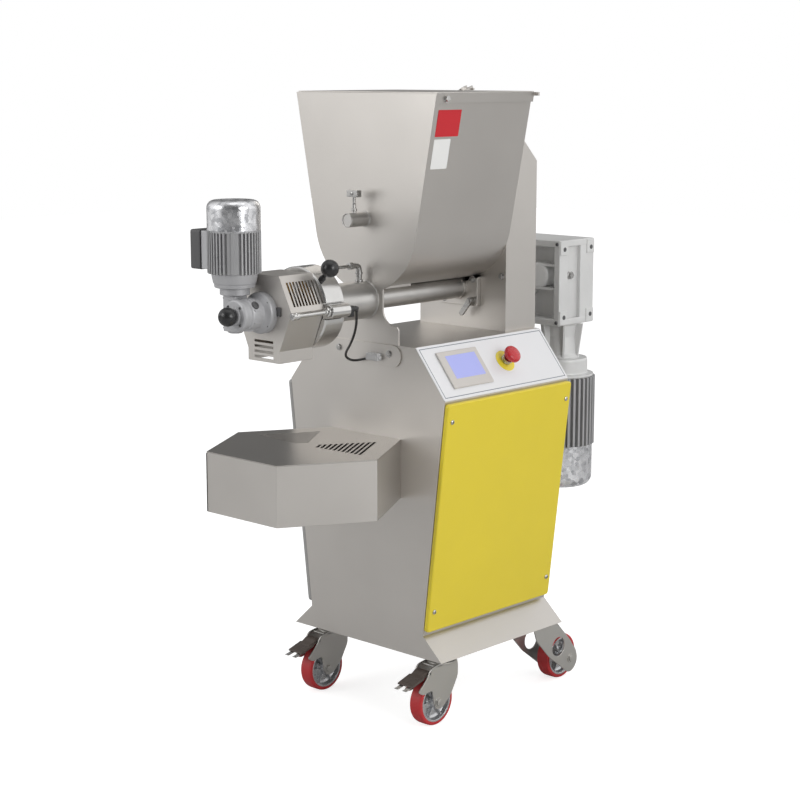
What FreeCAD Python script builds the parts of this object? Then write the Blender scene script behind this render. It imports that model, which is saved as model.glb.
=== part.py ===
import FreeCAD
import Part
import Sketcher
import math
import os
from FreeCAD import Placement, Rotation, Vector

# A floor-standing pasta extruder on castors. Millimetres, +Z up, the front plate faces -Y.
# Machine coordinates: X = 0 is the mirror plane, Y = 0 the front of the front plate, Z = 0 the floor.
# Every piece is moved back by frame_shift, so that the origin is the middle of the machine's footprint.

DRIVING = {
    # front plate and cabinet
    "sheet_thick": 3, "plate_thick": 5, "cabinet_depth": 490, "cabinet_top": 977,
    "top_half": 172.5, "slope_half": 272.6, "slope_drop": 125.6, "foot_half": 201.5, "skirt_high": 58.5,
    "skirt_half": 265, "base_low": 181.5, "neck_half": 62, "neck_round": 42,
    "door_thick": 13.5, "door_gap_top": 5.5, "door_gap_low": 10.5, "door_skin": 2, "door_screw_inset": 19,
    # hopper
    "hopper_height": 320, "hopper_half": 242, "hopper_arc": 177, "hopper_rise": 196, "hopper_depth": 374,
    "tub_inset": 9.2, "tub_wall": 2.5, "rim_high": 24, "mixer_lift": 7, "mixer_shaft_radius": 14,
    "lid_thick": 2.4, "lid_pin_radius": 2.5, "spigot_radius": 18, "spigot_length": 64,
    # barrel and die head
    "barrel_rise": 107, "barrel_radius": 28, "barrel_bore": 20, "screw_radius": 19.4, "screw_drive_radius": 16,
    "tube_radius": 48, "tube_length": 173, "ring_radius": 102, "ring_length": 65, "die_radius": 72,
    "flange_thick": 16, "flange_half": 66, "lever_side": 50,
    # guard, cutter and its gear motor
    "guard_length": 109.4, "guard_gap": 1.2, "guard_rise": 91, "guard_top_half": 55,
    "guard_mid_half": 97.4, "guard_drop": 119.5, "rod_side": 110, "rod_radius": 5.5,
    "worm_offset": 40, "worm_reach": 54.4, "hub_radius": 39.5, "cutter_shaft_radius": 8,
    "cutter_fin_radius": 64.5, "cutter_fin_length": 103, "cutter_cap_length": 71,
    "knob_radius": 23, "knob_reach": 20.5,
    # column and rear drive
    "column_half": 151.5, "column_overhang": 7, "column_rise": 443, "column_drop": 57,
    "lantern_length": 106, "gear_thick": 153, "gear_drop": 117, "gear_lift": 116, "gear_right": 150,
    "gear_left": 115, "drive_offset": 100, "drive_inset": 76, "drive_fin_radius": 95, "drive_fin_length": 192,
    "drive_cap_length": 118,
    # fan box
    "fan_side": 247.5, "fan_gap": 238, "fan_height": 151, "fan_wall": 3.5,
    # castors
    "wheel_radius": 62.5, "tyre_thick": 9, "wheel_width": 38, "castor_side": 200, "castor_plate": 5,
    "front_wheel_back": 33, "castor_trail": 38, "rear_wheel_reach": 59, "axle_radius": 5, "fork_gap": 22,
    "fork_thick": 4, "rear_fork_gap": 46,
    # fits
    "running_gap": 0.05, "clear_gap": 0.3,
}


class Size:
    # a length that keeps the sheet formula it was worked out from
    def __init__(self, number, formula):
        self.number = float(number)
        self.formula = formula

    def __add__(self, other):
        return Size(self.number + number(other), "(%s + %s)" % (self.formula, formula(other)))

    def __radd__(self, other):
        return Size(number(other) + self.number, "(%s + %s)" % (formula(other), self.formula))

    def __sub__(self, other):
        return Size(self.number - number(other), "(%s - %s)" % (self.formula, formula(other)))

    def __rsub__(self, other):
        return Size(number(other) - self.number, "(%s - %s)" % (formula(other), self.formula))

    def __mul__(self, other):
        return Size(self.number * number(other), "(%s * %s)" % (self.formula, formula(other)))

    def __rmul__(self, other):
        return self * other

    def __truediv__(self, other):
        return Size(self.number / number(other), "(%s / %s)" % (self.formula, formula(other)))

    def __neg__(self):
        return Size(-self.number, "(0 - %s)" % self.formula)


def number(value):
    return value.number if isinstance(value, Size) else float(value)


def formula(value):
    return value.formula if isinstance(value, Size) else "%.6f" % value


doc = FreeCAD.newDocument("PastaExtruder")
sheet = doc.addObject("Spreadsheet::Sheet", "Dims")
for row, (alias, value) in enumerate(DRIVING.items(), start=1):
    sheet.set("A%d" % row, alias)
    sheet.set("B%d" % row, str(value))
    sheet.setAlias("B%d" % row, alias)
doc.recompute()


class Dims:
    # each driving dimension by its alias
    def __getattr__(self, alias):
        return Size(sheet.get(alias), "Dims." + alias)


d = Dims()
made = []

# Heights and depths that several pieces share
foot_top = d.base_low + d.skirt_high
slope_low = d.cabinet_top - d.slope_drop
door_top = slope_low - d.door_gap_top
door_low = foot_top + d.door_gap_low
barrel_high = d.cabinet_top + d.barrel_rise
hopper_centre = barrel_high + d.hopper_rise
hopper_top = hopper_centre + d.hopper_height
mixer_high = hopper_centre + d.mixer_lift
ring_front = d.tube_length + d.ring_length
guard_back = ring_front + d.guard_gap
guard_front = guard_back + d.guard_length
worm_front = guard_front + d.worm_reach
column_rear = d.cabinet_depth + d.column_overhang
gear_front = column_rear + d.lantern_length
drive_back = gear_front + d.drive_inset
fan_high = d.cabinet_top - d.fan_gap
fan_low = fan_high - d.fan_height
front_swivel = d.front_wheel_back + d.castor_trail
rear_wheel_back = d.cabinet_depth + d.rear_wheel_reach
lock_pin_back = 26.5 - d.spigot_length


def bind(item, prop, value):
    # a size goes in as a formula, a plain number as it is
    if isinstance(value, Size):
        item.setExpression(prop, value.formula)
    else:
        setattr(item, prop, value)


def place(item, spot, rotation=None):
    item.Placement = Placement(Vector(*[number(part) for part in spot]), rotation or Rotation())
    for axis, value in zip("xyz", spot):
        if isinstance(value, Size):
            item.setExpression("Placement.Base." + axis, value.formula)
    return item


def box(name, spot, lengths):
    item = doc.addObject("Part::Box", name)
    for prop, value in zip(("Length", "Width", "Height"), lengths):
        bind(item, prop, value)
    return place(item, spot)


def middle_box(name, spot, lengths):
    # a box given by the middle of its footprint in X and Y, and its underside
    corner = (spot[0] - lengths[0] / 2, spot[1] - lengths[1] / 2, spot[2])
    return box(name, corner, lengths)


TURNS = {
    "x": Rotation(Vector(0, 1, 0), 90),
    "y": Rotation(Vector(1, 0, 0), -90),
    "z": Rotation(),
}


def cylinder(name, spot, axis, radius, length):
    # from the spot along +X, +Y or +Z
    item = doc.addObject("Part::Cylinder", name)
    bind(item, "Radius", radius)
    bind(item, "Height", length)
    turn = TURNS[axis] if isinstance(axis, str) else Rotation(Vector(0, 0, 1), axis)
    return place(item, spot, turn)


def fuse(name, *items):
    item = doc.addObject("Part::MultiFuse", name)
    item.Shapes = list(items)
    item.Refine = True
    return item


def group(name, *items):
    # separate solids that share one node
    item = doc.addObject("Part::Compound", name)
    item.Links = list(items)
    return item


def cut(name, base, *tools):
    item = doc.addObject("Part::Cut", name)
    item.Base = base
    item.Tool = tools[0] if len(tools) == 1 else group(name + "_tools", *tools)
    return item


def origin_plane(body, role):
    return [item for item in body.Origin.OriginFeatures if item.Role == role][0]


def outline(body, role, points, along=0.0):
    # a closed outline of straight edges, each corner held by its own two distances
    sketch = body.newObject("Sketcher::SketchObject", body.Name + "_outline")
    sketch.AttachmentSupport = [(origin_plane(body, role), "")]
    sketch.MapMode = "FlatFace"
    if isinstance(along, Size):
        sketch.setExpression("AttachmentOffset.Base.z", along.formula)
    elif along:
        sketch.AttachmentOffset = Placement(Vector(0, 0, along), Rotation())
    count = len(points)
    for index in range(count):
        start = Vector(number(points[index][0]), number(points[index][1]), 0)
        after = points[(index + 1) % count]
        end = Vector(number(after[0]), number(after[1]), 0)
        sketch.addGeometry(Part.LineSegment(start, end))
    for index in range(count):
        sketch.addConstraint(Sketcher.Constraint("Coincident", index, 2, (index + 1) % count, 1))
    for index, point in enumerate(points):
        for kind, value, line in (("DistanceX", point[0], -2), ("DistanceY", point[1], -1)):
            if abs(number(value)) < 1e-9:
                sketch.addConstraint(Sketcher.Constraint("PointOnObject", index, 1, line))
                continue
            held = sketch.addConstraint(Sketcher.Constraint(kind, -1, 1, index, 1, number(value)))
            if isinstance(value, Size):
                sketch.setExpression("Constraints[%d]" % held, value.formula)
    return sketch


def prism(name, role, points, start, depth, spot=(0, 0, 0)):
    # XZ outlines run from y = start towards +Y, YZ ones along +X, XY ones along +Z
    body = doc.addObject("PartDesign::Body", name)
    back = role == "XZ_Plane"
    sketch = outline(body, role, points, -start if back else start)
    pad = body.newObject("PartDesign::Pad", name + "_pad")
    pad.Profile = sketch
    bind(pad, "Length", depth)
    pad.Reversed = back
    return place(body, spot)


def turned(name, points, spot=(0, 0, 0), rotation=None):
    # points are (radius, height), turned about the body's own Z
    body = doc.addObject("PartDesign::Body", name)
    sketch = outline(body, "XZ_Plane", points)
    spin = body.newObject("PartDesign::Revolution", name + "_turn")
    spin.Profile = sketch
    spin.ReferenceAxis = (sketch, ["V_Axis"])
    spin.Angle = 360
    return place(body, spot, rotation)


def mirrored(points):
    # the right half of an outline, from top to bottom, closed by its mirror image
    return list(points) + [(-point[0], point[1]) for point in reversed(points)]


def frame_shift():
    # from the front of the cutter knob to the rear of the drive motor, halved
    front = worm_front + d.hub_radius + d.knob_reach + d.knob_radius
    return (drive_back + d.drive_fin_radius - front) / 2


def piece(name, item):
    # a finished sub-part: its label names its file, and it moves into the common frame
    item.Label = name
    shift = frame_shift()
    held = dict(item.ExpressionEngine).get("Placement.Base.y") or dict(item.ExpressionEngine).get(
        ".Placement.Base.y")
    start = held if held else "%.6f" % item.Placement.Base.y
    item.setExpression("Placement.Base.y", "(%s) - %s" % (start, shift.formula))
    made.append(item)
    return item


TOWARDS_RIGHT = Rotation(Vector(0, 1, 0), 90)
UPSIDE_DOWN = Rotation(Vector(1, 0, 0), 180)


# Small shapes that repeat

def hexagon(name, spot, axis, radius, length):
    # a bolt head, from the spot along +X, +Y or +Z
    item = doc.addObject("Part::Prism", name)
    item.Polygon = 6
    bind(item, "Circumradius", radius)
    bind(item, "Height", length)
    return place(item, spot, TURNS[axis])


def spoke(name, spot, angle, radius, length):
    # a rod in an XZ plane, its angle measured from +Z towards +X
    item = cylinder(name, spot, "z", radius, length)
    item.Placement = Placement(Vector(*[number(part) for part in spot]), Rotation(Vector(0, 1, 0), angle))
    return item


def ball(name, spot, radius):
    item = doc.addObject("Part::Sphere", name)
    bind(item, "Radius", radius)
    return place(item, spot)


def on_slope(item, along, back, lift):
    # puts a piece made flat on XY onto the right slope: X runs down it, Z stands off it
    steep = math.degrees(math.atan2(number(d.slope_drop), number(d.slope_half - d.top_half)))
    turn = Rotation(Vector(0, 1, 0), steep)
    corner = Vector(number(d.top_half), 0, number(d.cabinet_top))
    spot = corner + turn.multVec(Vector(along, back, lift))
    item.Placement = Placement(spot, turn)
    return item


def cabinet_half(inset=0.0, low=None):
    # the right half of the cabinet's section
    low_half = d.foot_half - inset * 1.03
    return [(d.top_half - inset / 2, d.cabinet_top - inset),
            (d.slope_half - inset * 1.2, slope_low - inset / 5),
            (low_half, low if low is not None else foot_top)]


def hopper_outline(name, inset, start, depth):
    # straight sides tangent to the round bottom, both moved in by the inset
    radius = number(d.hopper_arc) - inset
    rise = number(d.hopper_height)
    reach = math.hypot(number(d.hopper_half), rise)
    bearing = math.atan2(rise, number(d.hopper_half)) - math.acos(number(d.hopper_arc) / reach)
    tangent = (radius * math.cos(bearing), number(hopper_centre) + radius * math.sin(bearing))
    top = (number(d.hopper_half) - inset / math.cos(bearing), hopper_top)
    sides = prism(name + "_sides", "XZ_Plane", mirrored([top, tangent]), start, depth)
    round_low = cylinder(name + "_round", (0, start, hopper_centre), "y", d.hopper_arc - inset, depth)
    return fuse(name, sides, round_low)


# Hopper, neck and cabinet front

def make_front_plate():
    face = hopper_outline("plate_hopper", 0, 0, d.plate_thick)
    middle = d.neck_half + d.neck_round
    waist = barrel_high - 19
    half = [(d.neck_half, hopper_centre - 150), (d.neck_half, waist), (middle, waist),
            (middle, waist - d.neck_round), (middle + 6, waist - d.neck_round),
            (middle + 12, waist - d.neck_round - 8), (middle + 12, d.cabinet_top)]
    half += cabinet_half()
    half += [(d.skirt_half, d.base_low)]
    stem = prism("plate_stem", "XZ_Plane", mirrored(half), 0, d.plate_thick)
    necks = [cylinder("neck_%d" % side, (side * middle, -1, waist), "y", d.neck_round, 12)
             for side in (-1, 1)]
    barrel_hole = cylinder("plate_barrel_hole", (0, -1, barrel_high), "y", d.barrel_radius + d.running_gap, 12)
    mixer_hole = cylinder("plate_mixer_hole", (0, -1, mixer_high), "y", d.mixer_shaft_radius + d.clear_gap, 12)
    solid = fuse("plate_solid", face, stem)
    return piece("front_plate", cut("front_plate", solid, *necks, barrel_hole, mixer_hole))


def make_hopper_tub():
    depth = d.hopper_depth - d.sheet_thick - d.plate_thick
    inset = number(d.tub_inset)
    outer = hopper_outline("tub_outer", inset, d.plate_thick, depth)
    inner = hopper_outline("tub_inner", inset + number(d.tub_wall), d.plate_thick, depth)
    shell = cut("tub_shell", outer, inner)
    rear = hopper_outline("tub_rear", inset, d.hopper_depth - d.sheet_thick, d.sheet_thick)
    low = hopper_top - d.rim_high
    rims = []
    for side in (-1, 1):
        band = [(side * d.hopper_half, hopper_top), (side * (d.hopper_half - 4.7), low),
                (side * (d.hopper_half - 15), low), (side * (d.hopper_half - 10.5), hopper_top)]
        rims.append(prism("rim_%d" % side, "XZ_Plane", band, d.plate_thick, depth))
    lip_half = d.hopper_half + 12
    lip = box("rear_lip", (-lip_half, d.hopper_depth - d.sheet_thick, hopper_top - 9), (lip_half * 2, 6, 9))
    bracket = box("hinge_bracket", (-8, d.hopper_depth, hopper_top - 30), (16, 30, 40))
    slope = [(d.hopper_depth + 6, hopper_top - 31), (d.hopper_depth + 31, hopper_top - 31),
             (d.hopper_depth + 31, hopper_top - 6)]
    clear = prism("bracket_slope", "YZ_Plane", slope, -20, 40)
    pin = cylinder("hinge_pin", (-18, d.hopper_depth + 22, hopper_top + 6), "x", d.lid_pin_radius, 36)
    tube = cylinder("chute_tube", (0, 50, barrel_high), "y", d.barrel_radius + d.clear_gap, 110)
    seat = barrel_high + d.barrel_radius - 12
    tub_low = hopper_centre - d.hopper_arc + d.tub_inset + d.tub_wall
    chute = cut("chute", box("chute_solid", (-17, 57, seat), (34, 96, tub_low - seat - 0.3)), tube)
    body = fuse("tub_body", shell, rear, *rims, lip, cut("bracket_cut", bracket, clear), pin, chute)
    feed = box("feed_slot", (-14, 60, seat), (28, 90, tub_low - seat + 9.3))
    notch = cylinder("tub_barrel_notch", (0, d.hopper_depth - 6, barrel_high), "y",
                     d.barrel_radius + d.clear_gap, 10)
    shaft = cylinder("tub_shaft_hole", (0, d.hopper_depth - 14, mixer_high), "y",
                     d.mixer_shaft_radius + d.clear_gap, 20)
    return piece("hopper_tub", cut("hopper_tub", body, feed, shaft, notch))


def make_hopper_lid():
    low = hopper_top + d.clear_gap
    sheet_half = d.hopper_half - 1
    cover = box("lid_sheet", (-sheet_half, d.plate_thick + 1, low),
                (sheet_half * 2, d.hopper_depth - d.plate_thick - 5, d.lid_thick))
    pin_back = d.hopper_depth + 22
    ears = []
    for side in (-10, 10):
        ear = [(pin_back - 36, low), (pin_back + 6, hopper_top + 1.5), (pin_back + 2, hopper_top + 15),
               (pin_back - 8, hopper_top + 12)]
        ears.append(prism("lid_ear_%d" % side, "YZ_Plane", ear, side - 1.5, 3))
    holes = cylinder("lid_pin_hole", (-20, pin_back, hopper_top + 6), "x", d.lid_pin_radius + 0.1, 40)
    return piece("hopper_lid", cut("hopper_lid", fuse("lid_solid", cover, *ears), holes))


def make_mixer():
    # the shaft ends just behind the lock pin, which keeps it from sliding out through the spigot
    base = mixer_high
    front = lock_pin_back + 5
    shaft = cylinder("mixer_rod", (0, front, base), "y", d.mixer_shaft_radius, column_rear - 19 - front)
    reach = d.hopper_arc - d.tub_inset - d.tub_wall - 11.3 - d.mixer_lift
    pitch = (d.hopper_depth - 102) / 4
    paddles = []
    for index in range(5):
        angle = 72 * index
        back = number(45 + pitch * index)
        paddles.append(spoke("mixer_arm_%d" % index, (0, back, base), angle, 7, reach - 15))
        blade = box("mixer_blade_%d" % index, (0, 0, 0), (12, 58, 30))
        local = Placement(Vector(-6, -29, number(reach) - 25), Rotation())
        swing = Placement(Vector(0, back, number(base)), Rotation(Vector(0, 1, 0), angle))
        blade.Placement = swing.multiply(Placement(Vector(), Rotation(Vector(0, 0, 1), 30)).multiply(local))
        paddles.append(blade)
    piece("mixer_shaft", fuse("mixer_shaft", shaft, *paddles))


def make_spigot():
    base = mixer_high
    pin_radius = 4
    tube = cylinder("spigot_tube", (0, -d.spigot_length, base), "y", d.spigot_radius, d.spigot_length)
    bore = cylinder("spigot_bore", (0, 6 - d.spigot_length, base), "y", d.mixer_shaft_radius + d.running_gap,
                    d.spigot_length)
    sleeve = cylinder("spigot_sleeve", (0, lock_pin_back, base + d.spigot_radius - 3), "z", 5.8, 23)
    hole = cylinder("spigot_pin_hole", (0, lock_pin_back, base), "z", pin_radius + d.running_gap, 60)
    piece("mixer_spigot", cut("mixer_spigot", fuse("spigot_solid", tube, sleeve), bore, hole))
    low = base + 3
    handle_low = base + d.spigot_radius + 39
    rod = cylinder("pin_rod", (0, lock_pin_back, low), "z", pin_radius, handle_low + 3 - low)
    handle = middle_box("pin_handle", (0, lock_pin_back, handle_low), (34, 17, 17))
    piece("shaft_lock_pin", fuse("shaft_lock_pin", rod, handle))


# Cabinet

def make_cabinet():
    depth = d.cabinet_depth - d.plate_thick - d.sheet_thick
    outer = prism("shell_outer", "XZ_Plane", mirrored(cabinet_half()), d.plate_thick, depth)
    inner = prism("shell_inner", "XZ_Plane", mirrored(cabinet_half(number(d.sheet_thick), foot_top - 1)),
                  d.plate_thick - 1, depth + 2)
    opening = (120, d.cabinet_depth - 85, door_top - door_low - 99.7)
    inside = d.foot_half - 21.5
    doors = [box("door_opening_%d" % side, (low_x, 40, door_low + 57), opening)
             for side, low_x in ((1, inside), (-1, -inside - 120))]
    button = on_slope(cylinder("slope_button_hole", (0, 0, 0), "z", 8.5, 20), 78,
                      number(d.cabinet_depth) - 202, -10)
    shell = piece("cabinet_shell", cut("cabinet_shell", outer, inner, *doors, button))
    half = cabinet_half() + [(d.skirt_half, d.base_low)]
    back = d.cabinet_depth - d.sheet_thick
    piece("rear_panel", prism("rear_panel", "XZ_Plane", mirrored(half), back, d.sheet_thick))
    rise = d.sheet_thick
    tray = [(d.foot_half, foot_top), (d.skirt_half, d.base_low), (-d.skirt_half, d.base_low),
            (-d.foot_half, foot_top), (4.2 - d.foot_half, foot_top), (7.4 - d.skirt_half, d.base_low + rise),
            (d.skirt_half - 7.4, d.base_low + rise), (d.foot_half - 4.2, foot_top)]
    piece("base_tray", prism("base_tray", "XZ_Plane", tray, d.plate_thick, depth))
    return shell


def cabinet_side(high):
    # half the cabinet's width at a height below the slope
    lean = (d.slope_half - d.foot_half) / (slope_low - foot_top)
    return d.foot_half + lean * (high - foot_top)


def make_doors():
    # each door is a folded pan that lies on the cabinet's side
    skin_thick = d.door_skin
    for name, side in (("left_door", -1), ("right_door", 1)):
        inner_top = cabinet_side(door_top) + 0.03
        inner_low = cabinet_side(door_low) + 0.03
        outer_top = inner_top + d.door_thick
        outer_low = inner_low + d.door_thick
        outer = [(side * inner_top, door_top), (side * outer_top, door_top), (side * outer_low, door_low),
                 (side * inner_low, door_low)]
        high = door_top - skin_thick
        low = door_low + skin_thick
        hollow = [(side * (inner_top - 2), high), (side * (outer_top - skin_thick), high),
                  (side * (outer_low - skin_thick), low), (side * (inner_low - 2), low)]
        skin = prism(name + "_outer", "XZ_Plane", outer, 0, d.cabinet_depth)
        pan = prism(name + "_hollow", "XZ_Plane", hollow, skin_thick, d.cabinet_depth - skin_thick * 2)
        piece(name, cut(name, skin, pan))


def make_door_screws():
    # the doors lean out towards the top, and each screw stands square on its door
    lean = math.degrees(math.atan2(number(d.slope_half - d.foot_half), number(slope_low - foot_top)))
    heads = []
    for side in (-1, 1):
        for high in (door_top - 44.7, door_low + 54):
            reach = number(cabinet_side(high) + d.door_thick) + 0.05
            for back in (d.door_screw_inset, d.cabinet_depth - d.door_screw_inset):
                head = cylinder("door_screw_%d" % len(heads), (0, 0, 0), "z", 5, 3.2)
                turn = Rotation(Vector(0, 1, 0), side * (90 + lean))
                head.Placement = Placement(Vector(side * reach, number(back), number(high)), turn)
                heads.append(head)
    piece("door_screws", group("door_screws", *heads))


def make_controls():
    # along counts down the slope from its top edge, back from the cabinet's front
    sheet_high = 2
    along = 78
    back = d.cabinet_depth - 202
    slope = math.hypot(number(d.slope_drop), number(d.slope_half - d.top_half))
    panel = box("panel_sheet", (0, 0, 0), (slope - 2.6, d.cabinet_depth, sheet_high))
    hole = cylinder("panel_button_hole", (along - 0.5, back, -5), "z", 8.5, 20)
    piece("control_panel", on_slope(cut("control_panel", panel, hole), 0.5, 0, 0))
    frame = cut("bezel_cut", box("bezel_solid", (0, 0, 0), (105.4, 151, 6)),
                box("bezel_window", (14.4, 24, 2), (65.6, 111, 10)))
    piece("screen_bezel", on_slope(frame, 25.6, 53, sheet_high))
    display = box("screen_display", (0, 0, 0), (65.2, 110.6, 3))
    piece("screen_display", on_slope(display, 40.2, 77.2, sheet_high + 2))
    disc = cylinder("estop_disc", (0, 0, 0), "z", 30, 2)
    ring = cylinder("estop_ring", (0, 0, 0), "z", 15, 16)
    bore = cylinder("estop_bore", (0, 0, -1), "z", 8.1, 30)
    collar = cut("estop_collar", fuse("estop_base", disc, ring), bore)
    piece("estop_collar", on_slope(collar, along, number(back), sheet_high))
    stem = cylinder("estop_stem", (0, 0, -22), "z", 8, 50)
    head = turned("estop_head", [(0, 22), (16, 22), (23.5, 29), (23.5, 37), (21, 41), (13, 45), (0, 46)])
    piece("estop_button", on_slope(fuse("estop_button", stem, head), along, number(back), sheet_high))


# Column behind the hopper

def make_column():
    half = d.column_half
    wall = d.sheet_thick
    front = d.hopper_depth
    shoulder = d.cabinet_top + d.column_rise
    top = hopper_top - d.column_drop
    side = [(front, d.cabinet_top), (column_rear, d.cabinet_top), (column_rear, shoulder), (front, top)]
    hollow = [(front + wall, d.cabinet_top - 3), (column_rear - wall, d.cabinet_top - 3),
              (column_rear - wall, shoulder - wall * 0.44), (front + wall, top - wall * 2.33)]
    outer = prism("column_outer", "YZ_Plane", side, -half, half * 2)
    inner = prism("column_inner", "YZ_Plane", hollow, wall - half, half * 2 - wall * 2)
    screw_hole = cylinder("column_screw_hole", (0, front - 4, barrel_high), "y", d.barrel_radius + 1,
                          column_rear - front + 13)
    mixer_hole = cylinder("column_mixer_hole", (0, front - 4, mixer_high), "y",
                          d.mixer_shaft_radius + d.clear_gap, 20)
    piece("column", cut("column", outer, inner, screw_hole, mixer_hole))


def make_hex_bolts():
    bolts = []
    rims = []
    rim_high = hopper_top - 13
    for side in (-1, 1):
        bolts.append(hexagon("column_bolt_%d" % side, (side * (d.column_half - 15), d.hopper_depth - 6,
                                                       barrel_high + 38), "y", 7, 6))
        bolts.append(hexagon("cover_bolt_%d" % side, (side * 88, -9, d.cabinet_top - 23), "y", 7, 5))
        start = d.hopper_half - 3 if side > 0 else -d.hopper_half - 5
        rims.append(hexagon("rim_bolt_%d" % side, (start, 38.5, rim_high), "x", 7, 8))
    for across, upward in ((-d.lever_side, 26), (-d.lever_side, -31), (d.lever_side, 26)):
        back = d.hopper_depth - d.flange_thick - 7
        bolts.append(hexagon("flange_bolt_%d" % len(bolts), (across, back, barrel_high + upward), "y", 7, 7))
    band = hopper_outline("rim_clear", -0.1, 0, d.hopper_depth)
    piece("hex_bolts", group("hex_bolts", *bolts, *[cut(item.Name + "_cut", item, band) for item in rims]))


# Barrel, screw and die head

def make_barrel():
    length = d.hopper_depth
    tube = cylinder("barrel_tube", (0, 0, barrel_high), "y", d.barrel_radius, length)
    plate = box("barrel_flange_plate", (-d.flange_half, length - d.flange_thick, barrel_high - 46),
                (d.flange_half * 2, d.flange_thick, 92))
    above = cylinder("barrel_flange_clear", (0, length - d.flange_thick - 8, hopper_centre), "y",
                     d.hopper_arc + d.clear_gap, 30)
    flange = cut("barrel_flange", plate, above)
    bore = cylinder("barrel_hollow", (0, -1, barrel_high), "y", d.barrel_bore, length + 2)
    feed = box("barrel_feed", (-14, 60, barrel_high), (28, 90, d.barrel_radius + 12))
    piece("barrel", cut("barrel", fuse("barrel_solid", tube, flange), bore, feed))
    front = cylinder("tube_solid", (0, -d.tube_length, barrel_high), "y", d.tube_radius, d.tube_length)
    weld = cylinder("tube_weld", (0, -4, barrel_high), "y", d.tube_radius + 3, 4)
    hollow = cylinder("tube_hollow", (0, -d.tube_length - 7, barrel_high), "y", d.barrel_bore,
                      d.tube_length + 17)
    piece("die_tube", cut("die_tube", fuse("tube_fused", front, weld), hollow))


def make_flange_lever():
    face = d.hopper_depth - d.flange_thick
    side = d.lever_side
    hub = cylinder("lever_hub", (side, face - 16, barrel_high - 31), "y", 8, 16)
    wing = [(side - 5, barrel_high - 24), (side + 5, barrel_high - 37), (side - 26, barrel_high - 70),
            (side - 35, barrel_high - 64)]
    piece("flange_lever", fuse("flange_lever", hub, prism("lever_wing", "XZ_Plane", wing, face - 14, 5)))


def make_screw():
    # a round core with one helical flight, then the drive end that runs back into the gear unit
    core_radius = 11
    pitch = 38
    outer = number(d.screw_radius)
    start = 10 - number(d.tube_length)
    drive_start = number(d.hopper_depth) - 32
    span = drive_start - start - 25
    along = Vector(0, 1, 0)
    core = Part.makeCylinder(core_radius, drive_start - start, Vector(0, start, 0), along)
    spine = Part.makeHelix(pitch, span, core_radius)
    profile = Part.makePolygon([Vector(core_radius - 2, 0, 0), Vector(outer, 0, 1), Vector(outer, 0, 5),
                                Vector(core_radius - 2, 0, 7), Vector(core_radius - 2, 0, 0)])
    flight = Part.Wire(spine).makePipeShell([profile], True, True)
    flight.rotate(Vector(), Vector(1, 0, 0), -90)
    flight.translate(Vector(0, start + 5, 0))
    drive = Part.makeCylinder(number(d.screw_drive_radius), number(gear_front) + 29 - drive_start,
                              Vector(0, drive_start, 0), along)
    item = doc.addObject("Part::Feature", "extrusion_screw")
    item.Shape = core.fuse([flight, drive])
    place(item, (0, 0, barrel_high))
    piece("extrusion_screw", item)


def make_die_head():
    high = barrel_high
    front = -ring_front
    seat_deep = 26
    wall = 12
    ring = cylinder("ring_solid", (0, front, high), "y", d.ring_radius, d.ring_length)
    seat = cylinder("ring_seat", (0, front - 1, high), "y", d.die_radius + d.running_gap, seat_deep + 1)
    chamber = cylinder("ring_chamber", (0, front + seat_deep - 1, high), "y", d.die_radius - 10,
                       d.ring_length - seat_deep - wall + 6)
    rear = cylinder("ring_rear", (0, -d.tube_length - wall, high), "y", d.barrel_bore, wall + 8)
    pocket = box("ring_pocket", (d.rod_side - 20.4, front - 1, high - 21), (20.4, d.ring_length + 5, 42))
    diagonal = cylinder("knob_thread", (0, 0, 0), "z", 5.05, 120)
    reach = number(d.ring_radius) * 0.588
    diagonal.Placement = Placement(Vector(reach, 12 - number(ring_front), number(high) + reach),
                                   Rotation(Vector(0, 1, 0), 45))
    piece("die_ring", cut("die_ring", ring, seat, chamber, rear, pocket, diagonal))
    disc = cylinder("die_solid", (0, front, high), "y", d.die_radius, seat_deep - 0.2)
    holes = []
    circle = d.die_radius - 32
    for index in range(12):
        angle = math.radians(30 * index)
        holes.append(cylinder("die_hole_%d" % index, (circle * math.cos(angle), front - 1,
                                                      high + circle * math.sin(angle)), "y", 6, 40))
    piece("die", cut("die", disc, *holes))


def make_hinge_block():
    high = barrel_high
    front = -ring_front - 0.4
    length = d.ring_length - 2.6
    rear = front + length
    round_part = cylinder("block_round", (d.rod_side, front, high), "y", 17, length)
    square_part = box("block_square", (d.rod_side - 20.4, front, high - 18), (20.4, length, 36))
    washer = cylinder("block_washer", (d.rod_side, front - 5.6, high), "y", 12, 8)
    bore = cylinder("block_bore", (d.rod_side, front - 11.6, high), "y", d.rod_radius + d.running_gap,
                    length - 0.4)
    solid = fuse("block_solid", round_part, square_part, washer)
    piece("hinge_block", cut("hinge_block", solid, bore))
    barrel = cylinder("sensor_body", (d.rod_side, rear, high), "y", 9, 26)
    boot = cylinder("sensor_boot", (d.rod_side, rear + 26, high), "y", 6, 14)
    exit_low = cylinder("sensor_exit", (d.rod_side, rear + 34, high - 9), "z", 3.6, 9)
    piece("guard_sensor", fuse("guard_sensor", barrel, boot, exit_low))


CABLE_ROUTE = [(110, -142, 1075), (109, -141, 1052), (101, -137, 1031), (84, -127, 1010), (61, -112, 992),
               (36, -93, 978), (11, -74, 966), (-12, -57, 953), (-28, -42, 938), (-22, -26, 928),
               (-4, -16, 930), (17, -12.5, 936)]


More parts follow.
